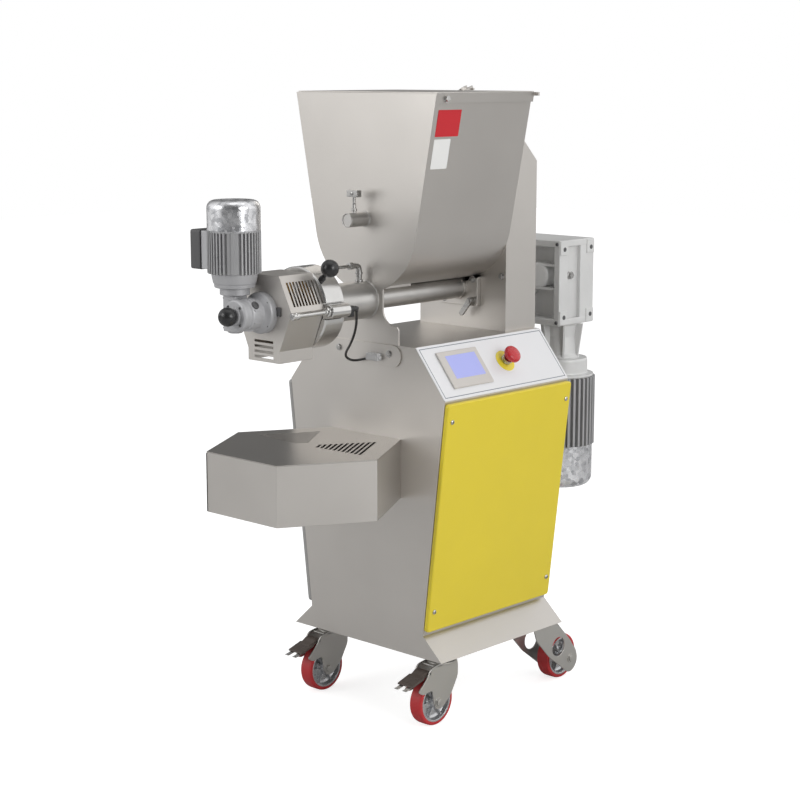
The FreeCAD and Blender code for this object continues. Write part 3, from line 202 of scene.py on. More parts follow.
finish = {
    "sheet": sheetSteel("stainlessSheet", shade(205, 201, 196)),
    # a darker copy of the stainless sheet for the fan lid: painted shade on its top face
    "sheetShadedTop": sheetSteel("stainlessPaintedShadeTop", shade(186, 182, 177), roughness=(0.26, 0.36)),
    "turned": turnedSteel("turnedSteel", shade(205, 203, 200), (1, 14, 1), (0.34, 0.46)),
    "ringBright": turnedSteel("ringSteel", shade(220, 219, 217), (1, 14, 1), (0.14, 0.26)),
    "bolt": turnedSteel("boltSteel", shade(190, 189, 187), (1, 1, 1), (0.2, 0.34)),
    "cast": castMetal("castAluminium", shade(186, 186, 188)),
    # a darker copy of the cast aluminium for the finned stators: painted shade between the fins
    "shadedCastFins": castMetal("paintedShadeFinCasting", shade(176, 176, 177)),
    "gear": castMetal("gearCasting", shade(222, 222, 221), 0.2, (0.38, 0.54)),
    "zincCap": zincSheet("zincCap", shade(244, 244, 246), shade(176, 177, 180), 85),
    "zincPlate": sheetSteel("zincPlate", shade(196, 194, 190), (0.34, 0.5), 0.0008),
    "yellow": plainCoat("doorYellow", shade(232, 210, 50), (0.30, 0.38), 300, 0.05, 0.15, 0, 0.015),
    "grey": plainCoat("doorGrey", shade(162, 161, 160), (0.30, 0.38), 300, 0.05, 0.15, 0, 0.015),
    "panel": plainCoat("panelFilm", shade(232, 232, 234), (0.30, 0.36), 400, 0.03, 0.1, 0.0006, 0.01),
    "panelLine": plainCoat("panelLine", shade(120, 128, 138), (0.4, 0.5), 300, 0.02, 0, 0, 0.02),
    "bezel": plainCoat("bezelGrey", shade(206, 201, 196), (0.36, 0.46), 350, 0.05, 0, 0.0012, 0.02),
    "display": plainCoat("displayFilm", shade(166, 172, 232), (0.18, 0.24), 300, 0.02, 0.2, 0, 0.02, 0.12),
    "stopYellow": plainCoat("stopYellow", shade(240, 222, 60), (0.3, 0.4), 350, 0.04, 0.1, 0.0004, 0.02),
    "stopRed": plainCoat("stopRed", shade(196, 34, 44), (0.22, 0.3), 300, 0.03, 0.3, 0.0006, 0.03),
    "black": plainCoat("blackPlastic", shade(34, 34, 35), (0.24, 0.36), 500, 0.06, 0.15, 0.0005, 0.08),
    "darkGrey": plainCoat("darkLid", shade(88, 88, 89), (0.38, 0.5), 500, 0.1, 0, 0.0008, 0.04),
    "lightGrey": plainCoat("lightPlastic", shade(206, 206, 206), (0.36, 0.46), 400, 0.06, 0, 0.0006, 0.03),
    "cable": plainCoat("cableSheath", shade(40, 39, 38), (0.4, 0.5), 600, 0.08, 0, 0, 0.08),
    "bronze": turnedSteel("dieBronze", shade(196, 160, 104), (1, 1, 1), (0.24, 0.36)),
    "pedal": plainCoat("pedalBrown", shade(78, 68, 62), (0.4, 0.52), 500, 0.12, 0, 0.0006, 0.05),
    "tread": plainCoat("redTread", shade(190, 44, 48), (0.40, 0.52), 350, 0.08, 0, 0.0008, 0.04),
    "hub": castMetal("hubAlloy", shade(205, 206, 208), 0.9, (0.22, 0.36)),
    "redLabel": plainCoat("redLabel", shade(204, 30, 42), (0.3, 0.36), 300, 0.02, 0.1, 0, 0.02),
    "whiteLabel": plainCoat("whiteLabel", shade(238, 238, 236), (0.3, 0.36), 300, 0.02, 0.1, 0, 0.01),
    # near-black finish of the fan box seam: painted shade in the gap
    "gap": plainCoat("seamPaintedShade", shade(52, 50, 48), (0.6, 0.7), 300, 0.02, 0, 0, 0.03),
}
print("materials:", len(finish))


# Surfaces

def gridShell(grid, wrapRows=False, wrapCols=False, capRows=False):
    # quads between neighbouring points (i, j), (i+1, j), (i+1, j+1), (i, j+1) of a grid of points;
    # a wrapped side joins its last line to its first, and caps close the first and last row
    grid = np.asarray(grid, float)
    rows, cols = grid.shape[:2]
    first, second = np.meshgrid(np.arange(rows if wrapRows else rows - 1),
                                np.arange(cols if wrapCols else cols - 1), indexing="ij")
    nextRow, nextCol = (first + 1) % rows, (second + 1) % cols
    quads = np.stack([first * cols + second, nextRow * cols + second,
                      nextRow * cols + nextCol, first * cols + nextCol], -1).reshape(-1, 4)
    faces = quads.tolist()
    if capRows:
        faces.append(list(range(cols)))
        faces.append([(rows - 1) * cols + index for index in reversed(range(cols))])
    return grid.reshape(-1, 3), faces


def basis(direction):
    # two directions square to the given one, so that side x up = direction
    ahead = np.asarray(direction, float)
    ahead = ahead / np.linalg.norm(ahead)
    helper = np.array([0, 0, 1.0]) if abs(ahead[2]) < 0.9 else np.array([0, 1.0, 0])
    side = np.cross(helper, ahead)
    side /= np.linalg.norm(side)
    return side, np.cross(ahead, side), ahead


def softened(points, radius, closed=False, steps=3):
    # each corner is replaced by a short arc: at t in 0..1 the quadratic curve
    # (1-t)^2 start + 2t(1-t) corner + t^2 end, where start and end lie the radius away,
    # or nearer on short sides
    points = np.asarray(points, float)
    before = np.roll(points, 1, 0)
    after = np.roll(points, -1, 0)
    back = before - points
    ahead = after - points
    backLength = np.maximum(np.linalg.norm(back, axis=1), 1e-9)
    aheadLength = np.maximum(np.linalg.norm(ahead, axis=1), 1e-9)
    reach = np.minimum(radius, 0.45 * np.minimum(backLength, aheadLength))
    start = points + back * (reach / backLength)[:, None]
    end = points + ahead * (reach / aheadLength)[:, None]
    t = np.linspace(0, 1, steps + 1)[None, :, None]
    curve = (1 - t) ** 2 * start[:, None] + 2 * t * (1 - t) * points[:, None] + t ** 2 * end[:, None]
    if closed:
        return curve.reshape(-1, points.shape[1])
    middle = curve[1:-1].reshape(-1, points.shape[1])
    return np.vstack([points[:1], middle, points[-1:]])


def latheShell(profile, centre, direction=toTop, segments=64, rounding=0.0, sweep=None):
    # point = centre + radius (cos t side + sin t up) + height ahead, for each (radius, height) of the profile
    profile = np.asarray(profile, float)
    if rounding:
        profile = softened(profile, rounding)
    side, up, ahead = basis(direction)
    if sweep is None:
        t = np.linspace(0, 2 * np.pi, segments, endpoint=False)
    else:
        t = np.radians(np.linspace(sweep[0], sweep[1], segments))
    ring = np.cos(t)[:, None] * side + np.sin(t)[:, None] * up
    radius, height = profile[:, 0][:, None, None], profile[:, 1][:, None, None]
    grid = np.asarray(centre, float) + radius * ring + height * ahead
    return gridShell(grid, wrapCols=sweep is None)


def insetOutline(outline, inset):
    # each corner moves inwards along its mitre: inset (n1 + n2) / (1 + n1.n2)
    ahead = np.roll(outline, -1, 0) - outline
    ahead /= np.maximum(np.linalg.norm(ahead, axis=1), 1e-9)[:, None]
    normal = np.stack([-ahead[:, 1], ahead[:, 0]], 1)
    before = np.roll(normal, 1, 0)
    mitre = (normal + before) / np.maximum(1 + (normal * before).sum(1), 0.3)[:, None]
    return outline + inset * mitre


def prismShell(outline, low, high, origin, across, upward, edge=1.0, corner=0.0, steps=3):
    # an outline carried from low to high, its rim inset by edge (1 - sin a) at depth edge (1 - cos a)
    outline = np.asarray(outline, float)
    if corner:
        outline = softened(outline, corner, closed=True, steps=4)
    turned = np.roll(outline, -1, 0)
    area = 0.5 * np.sum(outline[:, 0] * turned[:, 1] - turned[:, 0] * outline[:, 1])
    if area < 0:
        outline = outline[::-1]
    angle = np.linspace(0, np.pi / 2, steps + 1) if edge else np.array([np.pi / 2])
    insets = edge * (1 - np.sin(angle))
    depths = edge * (1 - np.cos(angle))
    stations = [(inset, low + depth) for inset, depth in zip(insets, depths)]
    stations += [(inset, high - depth) for inset, depth in zip(insets[::-1], depths[::-1])]
    across, upward = np.asarray(across, float), np.asarray(upward, float)
    outward = np.cross(across, upward)
    rows = []
    for inset, depth in stations:
        line = insetOutline(outline, inset)
        rows.append(np.asarray(origin, float) + line[:, :1] * across + line[:, 1:] * upward + depth * outward)
    return gridShell(np.stack(rows), wrapCols=True, capRows=True)


def rectangle(low, high):
    return [(low[0], low[1]), (high[0], low[1]), (high[0], high[1]), (low[0], high[1])]


def blockShell(low, high, edge=1.0, corner=0.0):
    # a block between two corners, its upright edges rounded by corner and its rims by edge
    return prismShell(rectangle(low, high), low[2], high[2], (0, 0, 0), toRight, toBack, edge, corner or edge)


def sidePrism(outline, low, high, edge, corner=0.0, steps=3):
    # an outline in Y and Z, carried along X
    return prismShell(outline, low, high, (0, 0, 0), toBack, toTop, edge, corner, steps)


def frontPrism(outline, low, high, edge, corner=0.0):
    # an outline in X and Z, carried forwards: low and high are distances in front of the front plate
    return prismShell(outline, low, high, (0, 0, 0), toRight, toTop, edge, corner)


def uprightLathe(line, place, segments=64, rounding=0.0):
    # turned about the upright line through (x, y), with heights from the floor
    return latheShell(line, (*place, 0), toTop, segments, rounding)


def tubeShell(points, radius, segments=16, smooth=8):
    # a circle carried along a Catmull-Rom line, on frames turned as little as they can be
    points = np.asarray(points, float)
    ends = np.vstack([2 * points[0] - points[1], points, 2 * points[-1] - points[-2]])
    t = np.linspace(0, 1, smooth, endpoint=False)[:, None]
    runs = [0.5 * ((2 * ends[i + 1]) + (ends[i + 2] - ends[i]) * t
                   + (2 * ends[i] - 5 * ends[i + 1] + 4 * ends[i + 2] - ends[i + 3]) * t ** 2
                   + (3 * ends[i + 1] - ends[i] - 3 * ends[i + 2] + ends[i + 3]) * t ** 3)
            for i in range(len(points) - 1)]
    line = np.vstack(runs + [points[-1:]])
    ahead = np.gradient(line, axis=0)
    ahead /= np.linalg.norm(ahead, axis=1)[:, None]
    side = basis(ahead[0])[0]
    rows = []
    angle = np.linspace(0, 2 * np.pi, segments, endpoint=False)
    for place, heading in zip(line, ahead):
        side = side - heading * side.dot(heading)
        side /= np.linalg.norm(side)
        up = np.cross(heading, side)
        rows.append(place + radius * (np.cos(angle)[:, None] * side + np.sin(angle)[:, None] * up))
    return gridShell(np.stack(rows), wrapCols=True, capRows=True)


def hexShell(centre, direction, radius, height, washer=0.0):
    # a bolt head: six sides, a chamfered crown and, where asked, a round collar under it
    side, up, ahead = basis(direction)
    shells = []
    t = np.radians(np.arange(0, 360, 60) + 15)
    outline = radius * np.stack([np.cos(t), np.sin(t)], 1)
    shells.append(prismShell(outline, 0, height, centre, side, up, min(0.9, radius * 0.12)))
    crown = [(0, height * 0.99), (radius * 0.62, height * 0.99), (radius * 0.56, height * 1.06),
             (0, height * 1.06)]
    shells.append(latheShell(crown, centre, direction, 24))
    if washer:
        collar = [(0, -0.2), (washer, -0.2), (washer, 1.2), (0, 1.2)]
        shells.append(latheShell(collar, centre, direction, 32, 0.3))
    return shells


def socketShell(centre, direction, radius, height):
    # a low domed screw head with a round recess in it
    return latheShell([(0, 0), (radius, 0), (radius * 0.98, height * 0.45), (radius * 0.72, height * 0.92),
                       (radius * 0.46, height), (radius * 0.4, height * 0.45), (0, height * 0.4)],
                      centre, direction, 28)


def joined(shells):
    points, faces, start = [], [], 0
    for shell in shells:
        pieces = shell if isinstance(shell, list) else [shell]
        for part, partFaces in pieces:
            points.append(part)
            faces += [[index + start for index in face] for face in partFaces]
            start += len(part)
    return np.vstack(points), faces


def makePiece(name, shells, material, body="machine", stands=(), sharp=38.0):
    # one piece: the shells' points go into the frame, doubles are merged, normals point outwards
    points, faces = joined(shells if isinstance(shells, list) else [shells])
    mesh = bpy.data.meshes.new(name)
    mesh.from_pydata(toFrame(points).tolist(), [], faces)
    work = bmesh.new()
    work.from_mesh(mesh)
    bmesh.ops.remove_doubles(work, verts=work.verts, dist=2e-6)
    bmesh.ops.recalc_face_normals(work, faces=work.faces)
    work.to_mesh(mesh)
    work.free()
    mesh.shade_smooth()
    mesh.set_sharp_from_angle(angle=math.radians(sharp))
    mesh.materials.append(finish[material])
    piece = bpy.data.objects.new(name, mesh)
    bpy.context.scene.collection.objects.link(piece)
    # large faces keep their own direction, so that only the rounded edges shade round
    flat = piece.modifiers.new("flatFaces", "WEIGHTED_NORMAL")
    flat.keep_sharp = True
    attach(piece, body)
    if stands:
        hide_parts(*stands)


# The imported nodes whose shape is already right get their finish

nodeFinish = {
    "sheet": ["front_plate", "hopper_tub", "hopper_lid", "cabinet_shell", "rear_panel", "base_tray", "column",
              "fan_box", "guard_hood", "cover_plate"],
    # the fan lid takes the stainless copy darkened with painted shade
    "sheetShadedTop": ["fan_lid"],
    "turned": ["mixer_shaft", "extrusion_screw", "cutter_head", "fan_impeller"],
    "bronze": ["die"],
    "zincPlate": ["castor_plates"],
}
for material, names in nodeFinish.items():
    for name in names:
        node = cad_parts[name]
        node.data.materials.clear()
        node.data.materials.append(finish[material])
print("packed nodes dressed")


# Doors, panel and controls

door = {"low": 250.5, "lowHalf": 216.25, "topHalf": 285.49, "top": 845.9, "depth": 490.0, "thick": 13.4,
        "fold": 4.0, "corner": 10.0}
doorRise, doorSpread = door["top"] - door["low"], door["topHalf"] - door["lowHalf"]
lean = math.hypot(doorSpread, doorRise)
doorUp = np.array([doorSpread, 0, doorRise]) / lean
for side, material, node in ((1, "yellow", "right_door"), (-1, "grey", "left_door")):
    upward = doorUp * np.array([side, 1, 1])
    start = (side * door["lowHalf"], 0 if side > 0 else door["depth"], door["low"])
    makePiece("door" + ("Right" if side > 0 else "Left"),
              prismShell(rectangle((0, 0), (door["depth"], lean)), -door["thick"], 0, start, (0, side, 0),
                         upward, door["fold"], door["corner"], 5),
              material, stands=(node,))

doorScrew = {"radius": 6.2, "height": 3.6, "back": (19, 471), "high": (801.2, 304.5)}
screws = []
for side in (1, -1):
    outwardWay = np.array([side * doorUp[2], 0, -doorUp[0]])
    for high in doorScrew["high"]:
        reach = door["lowHalf"] + (high - door["low"]) / doorRise * doorSpread
        for back in doorScrew["back"]:
            screws.append(socketShell((side * reach, back, high), outwardWay, doorScrew["radius"],
                                      doorScrew["height"]))
makePiece("doorScrews", screws, "bolt", stands=("door_screws",))

slope = {"side": 172.5, "top": 977.0, "run": 100.1, "drop": 125.6}
slopeStart = np.array([slope["side"], 0, slope["top"]])
slopeDown = np.array([slope["run"], 0, -slope["drop"]]) / math.hypot(slope["run"], slope["drop"])
slopeOut = np.cross(slopeDown, toBack)


def slopePrism(low, high, bottom, top, edge, corner=0.0, steps=3):
    # a rectangle on the sloping face: each corner is (way down the slope, way back)
    return prismShell(rectangle(low, high), bottom, top, slopeStart, slopeDown, toBack, edge, corner, steps)


panel = {"length": 158.6, "width": 489.6, "corner": 5.0, "thick": 2.0, "lineInset": 7.2, "lineWidth": 2.0}
makePiece("controlPanel", slopePrism((0.4, 0.2), (panel["length"], panel["width"]), 0, panel["thick"], 0.7,
                                     panel["corner"]), "panel", stands=("control_panel",))
inner, width = panel["lineInset"], panel["lineWidth"]
far, wide = panel["length"] - inner, panel["width"] - inner
bars = (((inner, inner), (far, inner + width)), ((inner, wide - width), (far, wide)),
        ((inner, inner), (inner + width, wide)), ((far - width, inner), (far, wide)))
makePiece("panelBorder", [slopePrism(low, high, 1.5, panel["thick"] + 0.15, 0) for low, high in bars],
          "panelLine")

screen = {"low": (25.6, 53), "high": (131, 204), "lift": 7.6, "glassLow": (39.6, 76.6),
          "glassHigh": (106.0, 188.2)}
makePiece("screenBezel", slopePrism(screen["low"], screen["high"], 2, screen["lift"], 2.6, 4.0, 4),
          "bezel", stands=("screen_bezel",))
makePiece("screenGlass",
          slopePrism(screen["glassLow"], screen["glassHigh"], 4, screen["lift"] + 0.35, 0.3, 1.5),
          "display", stands=("screen_display",))

stop = {"along": 78.0, "back": 288.0, "disc": 30.0, "ring": 15.0, "head": 23.5, "lift": 46.0}
stopFoot = slopeStart + slopeDown * stop["along"] + np.array([0, stop["back"], 0])
disc = [(0, 2), (stop["disc"], 2), (stop["disc"], 3.6), (0, 3.6)]
makePiece("stopDisc", latheShell(disc, stopFoot, slopeOut, 64, 0.5), "stopYellow",
          stands=("estop_collar",))
collar = [(8.5, 3.6), (14.4, 3.6), (14.4, 9), (13.2, 9.6), (13.2, 11.2), (14.6, 11.8), (stop["ring"], 15.4),
          (13.6, 16.4), (8.5, 16.4)]
makePiece("stopCollar", latheShell(collar, stopFoot, slopeOut, 48, 0.4), "bolt")
mushroom = [(0, 2), (8, 2), (8, 22), (16, 22.4), (22.4, 28.4), (stop["head"], 31), (stop["head"], 37),
            (21.4, 41), (14, 44.6), (12.4, 44.2), (11, 44.8), (7, 45.8), (0, stop["lift"])]
makePiece("stopMushroom", latheShell(mushroom, stopFoot, slopeOut, 64, 1.6), "stopRed", "stop_button",
          ("estop_button",))
print("cabinet pieces made")


# Labels on the hopper's side, left blank

hopper = {"half": 232.7, "top": 1600.0, "topHalf": 242.0, "low": 1246.5, "lowHalf": 173.8}


def hopperSide(high):
    # the outer face of the tub's straight side at a height
    spread = (hopper["topHalf"] - hopper["lowHalf"]) / (hopper["top"] - hopper["low"])
    return hopper["half"] - (hopper["top"] - high) * spread


label = {"redLabel": (26, 111, 1495, 1560), "whiteLabel": (25.5, 85.5, 1416.5, 1489)}
labelThick = 0.5
for name, (front, back, low, high) in label.items():
    wide = hopperSide(high) - hopperSide(low)
    rise = math.hypot(wide, high - low)
    upward = np.array([wide, 0, high - low]) / rise
    foot = (hopperSide(low), front, low)
    makePiece(name, prismShell(rectangle((0, 0), (back - front, rise)), 0, labelThick, foot, toBack, upward,
                               0.1, 2.0), name)
print("labels made")


# Bolts on the column, hopper rim, cover plate and barrel flange

# column, cover plate, right rim, left rim, flange: places, way out, radius and height of the heads
boltSets = [
    ([(-136.5, 374, 1122), (136.5, 374, 1122)], toFront, 7.5, 6),
    ([(-88, -4, 954), (88, -4, 954)], toFront, 7.5, 5.5),
    ([(238.8, 38.5, 1587)], (1, 0, 0.12), 8, 7.5),
    ([(-238.8, 38.5, 1587)], (-1, 0, 0.12), 8, 7.5),
    ([(-50, 358, 1110), (-50, 358, 1053), (50, 358, 1110)], toFront, 8, 7),
]
boltShells = [hexShell(place, way, radius, height, radius * 1.25)
              for places, way, radius, height in boltSets for place in places]
makePiece("hexBolts", boltShells, "bolt", stands=("hex_bolts",))


# Mixer spigot with its lock pin

spigot = {"high": 1287, "radius": 18, "front": -64, "sleeve": 5.8, "pinBack": -37.5}
spigotShells = [
    latheShell([(0, spigot["front"] + 2.5), (15, spigot["front"] + 2.5), (15.8, spigot["front"]),
                (17, spigot["front"]), (spigot["radius"], spigot["front"] + 1.2), (spigot["radius"], -2.4),
                (19.6, -1.2), (20.8, 0), (0, 0)], (0, 0, spigot["high"]), toBack, 56, 0.3),
    latheShell([(4.1, 302.2), (spigot["sleeve"], 302.2), (spigot["sleeve"], 309), (7.6, 309.6), (7.6, 314.6),
                (5.2, 315.4), (5.2, 324.6), (4.1, 325)], (0, spigot["pinBack"], 1000), toTop, 32),
]
makePiece("mixerSpigot", spigotShells, "turned", stands=("mixer_spigot",))
pinShells = [
    uprightLathe([(0, 1290), (3, 1290), (3.9, 1291.5), (3.9, 1345), (0, 1345)], (0, spigot["pinBack"]), 24),
    blockShell((-18, spigot["pinBack"] - 8.5, 1344), (18, spigot["pinBack"] + 8.5, 1361), 1.4),
    latheShell([(0, 0), (4.6, 0), (4.6, 1.4), (3.4, 2.0), (1.8, 2.0), (1.8, 0.6), (0, 0.6)],
               (0, spigot["pinBack"] - 8.4, 1352.5), toFront, 24),
]
makePiece("lockPin", pinShells, "bolt", "lock_pin", ("shaft_lock_pin",))


# Barrel and die tube

barrel = {"high": 1084, "radius": 27.95, "groove": 352.5, "arcHigh": 1280, "arc": 177.3}
groove = barrel["groove"]


def aroundBarrel(line, segments=64, rounding=0.0, sweep=None):
    # turned about the barrel's axis, with lengths from the front plate backwards
    return latheShell(line, (0, 0, barrel["high"]), toBack, segments, rounding, sweep)


barrelLine = [(20.2, 0.2), (barrel["radius"], 0.2), (barrel["radius"], groove - 1.6), (26.4, groove - 1.2),
              (26.4, groove + 1.2), (barrel["radius"], groove + 1.6), (barrel["radius"], 359), (20.2, 359)]
flangeOutline = [(-66, 1038), (66, 1038), (66, 1116)]
arcAngle = np.radians(np.linspace(-68, -112, 25))
flangeOutline += [(barrel["arc"] * math.cos(angle), barrel["arcHigh"] + barrel["arc"] * math.sin(angle))
                  for angle in arcAngle]
flangeOutline += [(-66, 1116)]
makePiece("barrelTube", aroundBarrel(barrelLine, 72), "turned", stands=("barrel",))
makePiece("barrelFlange", [frontPrism(flangeOutline, -374, -358, 1.6),
                           aroundBarrel([(26, 348), (31, 348), (31, 359), (26, 359)], 56, 0.6)], "sheet")

tube = {"radius": 48.0, "front": -173.2, "weld": 2.6}
tubeLine = [(20.1, tube["front"]), (46.8, tube["front"]), (tube["radius"], tube["front"] + 1.2),
            (tube["radius"], -0.05), (20.1, -0.05)]
makePiece("dieTube", aroundBarrel(tubeLine, 96), "turned", stands=("die_tube",))
# a weld bead: a small circle carried round the tube, its size rippled 54 times
beads = np.linspace(0, 2 * np.pi, 216, endpoint=False)
across = np.linspace(0, 2 * np.pi, 10, endpoint=False)
swell = tube["weld"] * (1 + 0.10 * np.sin(54 * beads))[:, None]
weldRadius = tube["radius"] - 0.2 + swell * np.cos(across)[None, :]
weldBack = -0.62 * tube["weld"] + 0.72 * swell * np.sin(across)[None, :]
weldGrid = np.stack([weldRadius * np.cos(beads)[:, None], np.minimum(weldBack, -0.02),
                     barrel["high"] + weldRadius * np.sin(beads)[:, None]], -1)
makePiece("tubeWeld", gridShell(weldGrid, True, True), "turned")

lever = {"hub": (50, 350, 1053), "bolt": (50, 342.4, 1053)}
leverOutline = [(43.5, 1058), (49, 1061.5), (57, 1054), (55.5, 1047), (27, 1012.5), (20, 1010.5),
                (14.5, 1015.5), (14.8, 1021.5)]
leverShells = [
    latheShell([(0, -8), (8, -8), (8.4, -5), (8.4, 8), (0, 8)], lever["hub"], toBack, 32, 0.8),
    frontPrism(leverOutline, -350, -344.5, 1.2, 3.0),
    hexShell(lever["bolt"], toFront, 6, 3.4),
]
makePiece("flangeLever", leverShells, "bolt", "lever", stands=("flange_lever",))
print("barrel made")


# Die ring with the die's guard hinge

ring = {"front": -238.0, "back": -173.0, "radius": 102.0, "seat": 72.3, "hole": 49.2, "step": -214.0,
        "gapAngle": 11.9, "lip": 3.4}
ringLine = [(ring["seat"], ring["front"] + 0.4), (ring["seat"] + 0.8, ring["front"] + 0.05),
            (ring["radius"] - ring["lip"], ring["front"] + 0.05),
            (ring["radius"] - 0.4, ring["front"] + ring["lip"]),
            (ring["radius"], ring["front"] + ring["lip"] + 0.8), (ring["radius"], ring["back"] - 2.4),
            (ring["radius"] - 1.6, ring["back"] - 0.2), (ring["hole"], ring["back"] - 0.2),
            (ring["hole"], ring["step"]), (ring["seat"], ring["step"])]
columns = 145
ringPoints, ringFaces = aroundBarrel(ringLine + ringLine[:1], columns,
                                     sweep=(180 + ring["gapAngle"], 540 - ring["gapAngle"]))
# the open ring's two ends are closed by its profile
ringFaces = ringFaces + [[row * columns for row in range(len(ringLine))],
                         [row * columns + columns - 1 for row in reversed(range(len(ringLine)))]]
floorBlock = blockShell((49.5, ring["front"] + 1, 1062.8), (89.5, ring["back"] - 1, 1105.2), 0.4)
makePiece("dieRing", [(ringPoints, ringFaces), floorBlock], "ringBright", stands=("die_ring",), sharp=22)

hinge = {"side": 110.0, "high": 1084.0, "front": -238.4, "back": -176.0, "radius": 17.0}


def aroundHinge(line, segments, rounding):
    # turned about the hinge rod's axis, with lengths from the front plate backwards
    return latheShell(line, (hinge["side"], 0, hinge["high"]), toBack, segments, rounding)


hingeShells = [
    aroundHinge([(5.6, hinge["front"]), (15.4, hinge["front"]), (hinge["radius"], hinge["front"] + 1.6),
                 (hinge["radius"], hinge["back"] - 1.6), (15.6, hinge["back"]),
                 (5.6, hinge["back"])], 56, 0.3),
    frontPrism(rectangle((89.7, 1066.4), (106, 1101.6)), 176.3, 238.1, 1.0, 1.0),
    aroundHinge([(5.6, -246), (9.6, -246), (12.2, -244.6), (12.2, -240), (9.4, -239),
                 (9.4, hinge["front"] + 0.3), (5.6, hinge["front"] + 0.3)], 40, 0.5),
]
makePiece("hingeBlock", hingeShells, "ringBright", stands=("hinge_block",))

sensorShells = [
    aroundHinge([(0, hinge["back"]), (9.6, hinge["back"]), (9.6, -168), (8.6, -167), (8.6, -156),
                 (7.4, -154.5), (7.0, -146), (4.4, -138.5), (0, -137)], 36, 0.6),
    blockShell((hinge["side"] - 8, hinge["back"], 1066), (hinge["side"] + 8, -158, 1083), 1.2),
    uprightLathe([(0, 1075), (3.4, 1075), (3.8, 1077), (3.8, 1083), (0, 1083)],
                 (hinge["side"], -142), 24, 0.4),
]
makePiece("guardSensor", sensorShells, "black", stands=("guard_sensor",))

cableRoute = [(110, -142, 1075), (109, -141, 1052), (101, -137, 1031), (84, -127, 1010), (61, -112, 992),
              (36, -93, 978), (11, -74, 966), (-12, -57, 953), (-28, -42, 938), (-22, -26, 928),
              (-4, -16, 930), (17, -12.5, 936)]
cableCurve = bpy.data.curves.new("sensorCable", "CURVE")
cableCurve.dimensions = "3D"
spline = cableCurve.splines.new("NURBS")
spline.points.add(len(cableRoute) - 1)
spline.points.foreach_set("co", np.hstack([toFrame(cableRoute), np.ones((len(cableRoute), 1))]).ravel())
spline.order_u = 3
spline.use_endpoint_u = True
spline.resolution_u = 12
cableCurve.bevel_depth = 0.0031
cableCurve.bevel_resolution = 4
cableCurve.use_fill_caps = True
cableCurve.materials.append(finish["cable"])
cable = bpy.data.objects.new("sensorCable", cableCurve)
bpy.context.scene.collection.objects.link(cable)
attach(cable, "machine")
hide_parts("sensor_cable")

connectorShells = [
    blockShell((22, -19.6, 934), (62, -4.1, 952.6), 1.8),
    blockShell((28, -21, 936.5), (56, -18, 950), 1.0),
    latheShell([(0, 16.9), (3.4, 16.9), (4.6, 19), (5.4, 19), (5.4, 23.5), (0, 23.5)], (0, -12.5, 938.6),
               toRight, 24, 0.4),
    latheShell([(0, 61.5), (5.2, 61.5), (5.2, 64.4), (4.2, 66), (0, 66)], (0, -12.5, 943), toRight, 24, 0.5),
]
makePiece("cableConnector", connectorShells, "lightGrey", stands=("cable_connector",))

knob = {"back": -226.0, "way": (1, 0, 1), "ball": 22.0, "centre": 146.0}
ballLine = [(0, knob["centre"] - 21)]
ballLine += [(knob["ball"] * math.sin(angle), knob["centre"] + knob["ball"] * math.cos(angle))
             for angle in np.linspace(np.radians(158), 0, 26)]
stemLine = [(0, 88), (4.9, 88), (4.9, 103.3), (7.8, 103.3), (8.2, 105), (8.2, 112), (6.2, 115), (5.6, 123),
            (8.6, 126), (0, 127)]
makePiece("lockKnob", [latheShell(ballLine, (0, knob["back"], barrel["high"]), knob["way"], 56),
                       latheShell(stemLine, (0, knob["back"], barrel["high"]), knob["way"], 36, 0.5)],
          "black", "clamp_knob", ("lock_knob",))

fitting = {"back": -21.0, "base": 1131.0, "turn": 1172.0, "pipe": 7.3}
fittingShells = [
    tubeShell([(0, fitting["back"], 1130.5), (0, fitting["back"], 1145), (0, fitting["back"], 1160),
               (0, fitting["back"] - 3.2, 1168.8), (0, fitting["back"] - 12, fitting["turn"]),
               (0, -44, fitting["turn"])], fitting["pipe"], 24),
    latheShell([(0, 0), (10.5, 0), (10.5, 4), (9, 6), (7.3, 6.4)], (0, fitting["back"], fitting["base"]),
               toTop, 32, 0.5),
    latheShell([(0, 0), (9.4, 0), (9.4, 5), (0, 5)], (0, fitting["back"], 1150), toTop, 32, 0.8),
    hexShell((0, -44, fitting["turn"]), toFront, 9.6, 14),
    latheShell([(0, 57), (4.6, 57), (4.6, 96), (5.6, 97), (5.6, 104), (3.2, 112), (0, 112)],
               (0, 0, fitting["turn"]), toFront, 28, 0.4),
]
makePiece("barrelFitting", fittingShells, "bolt", stands=("barrel_fitting",))
print("die head made")


# Guard hood's hinge rod

rodShells = [
    aroundHinge([(0, -352), (5.4, -352), (5.4, -252), (8.2, -251.5), (8.2, -246.6), (5.4, -246.2),
                 (5.4, -195), (4.6, -194.2), (0, -194.2)], 32, 0.3),
    aroundHinge([(0, -360), (6.4, -360), (8.8, -358.4), (9.0, -350.6), (7.4, -349.8), (7.4, -348.2),
                 (9.0, -347.4), (9.0, -339.4), (7.6, -338.2), (5.4, -338)], 36, 0.4),
    blockShell((97.8, -347.6, 1079.2), (hinge["side"], -339.4, 1088.8), 0.8),
    blockShell((97.8, -296, 1079.2), (hinge["side"], -288.2, 1088.8), 0.8),
]
makePiece("hingeRod", rodShells, "ringBright", "cutting_unit", ("hinge_rod",))


# Cutter gear unit

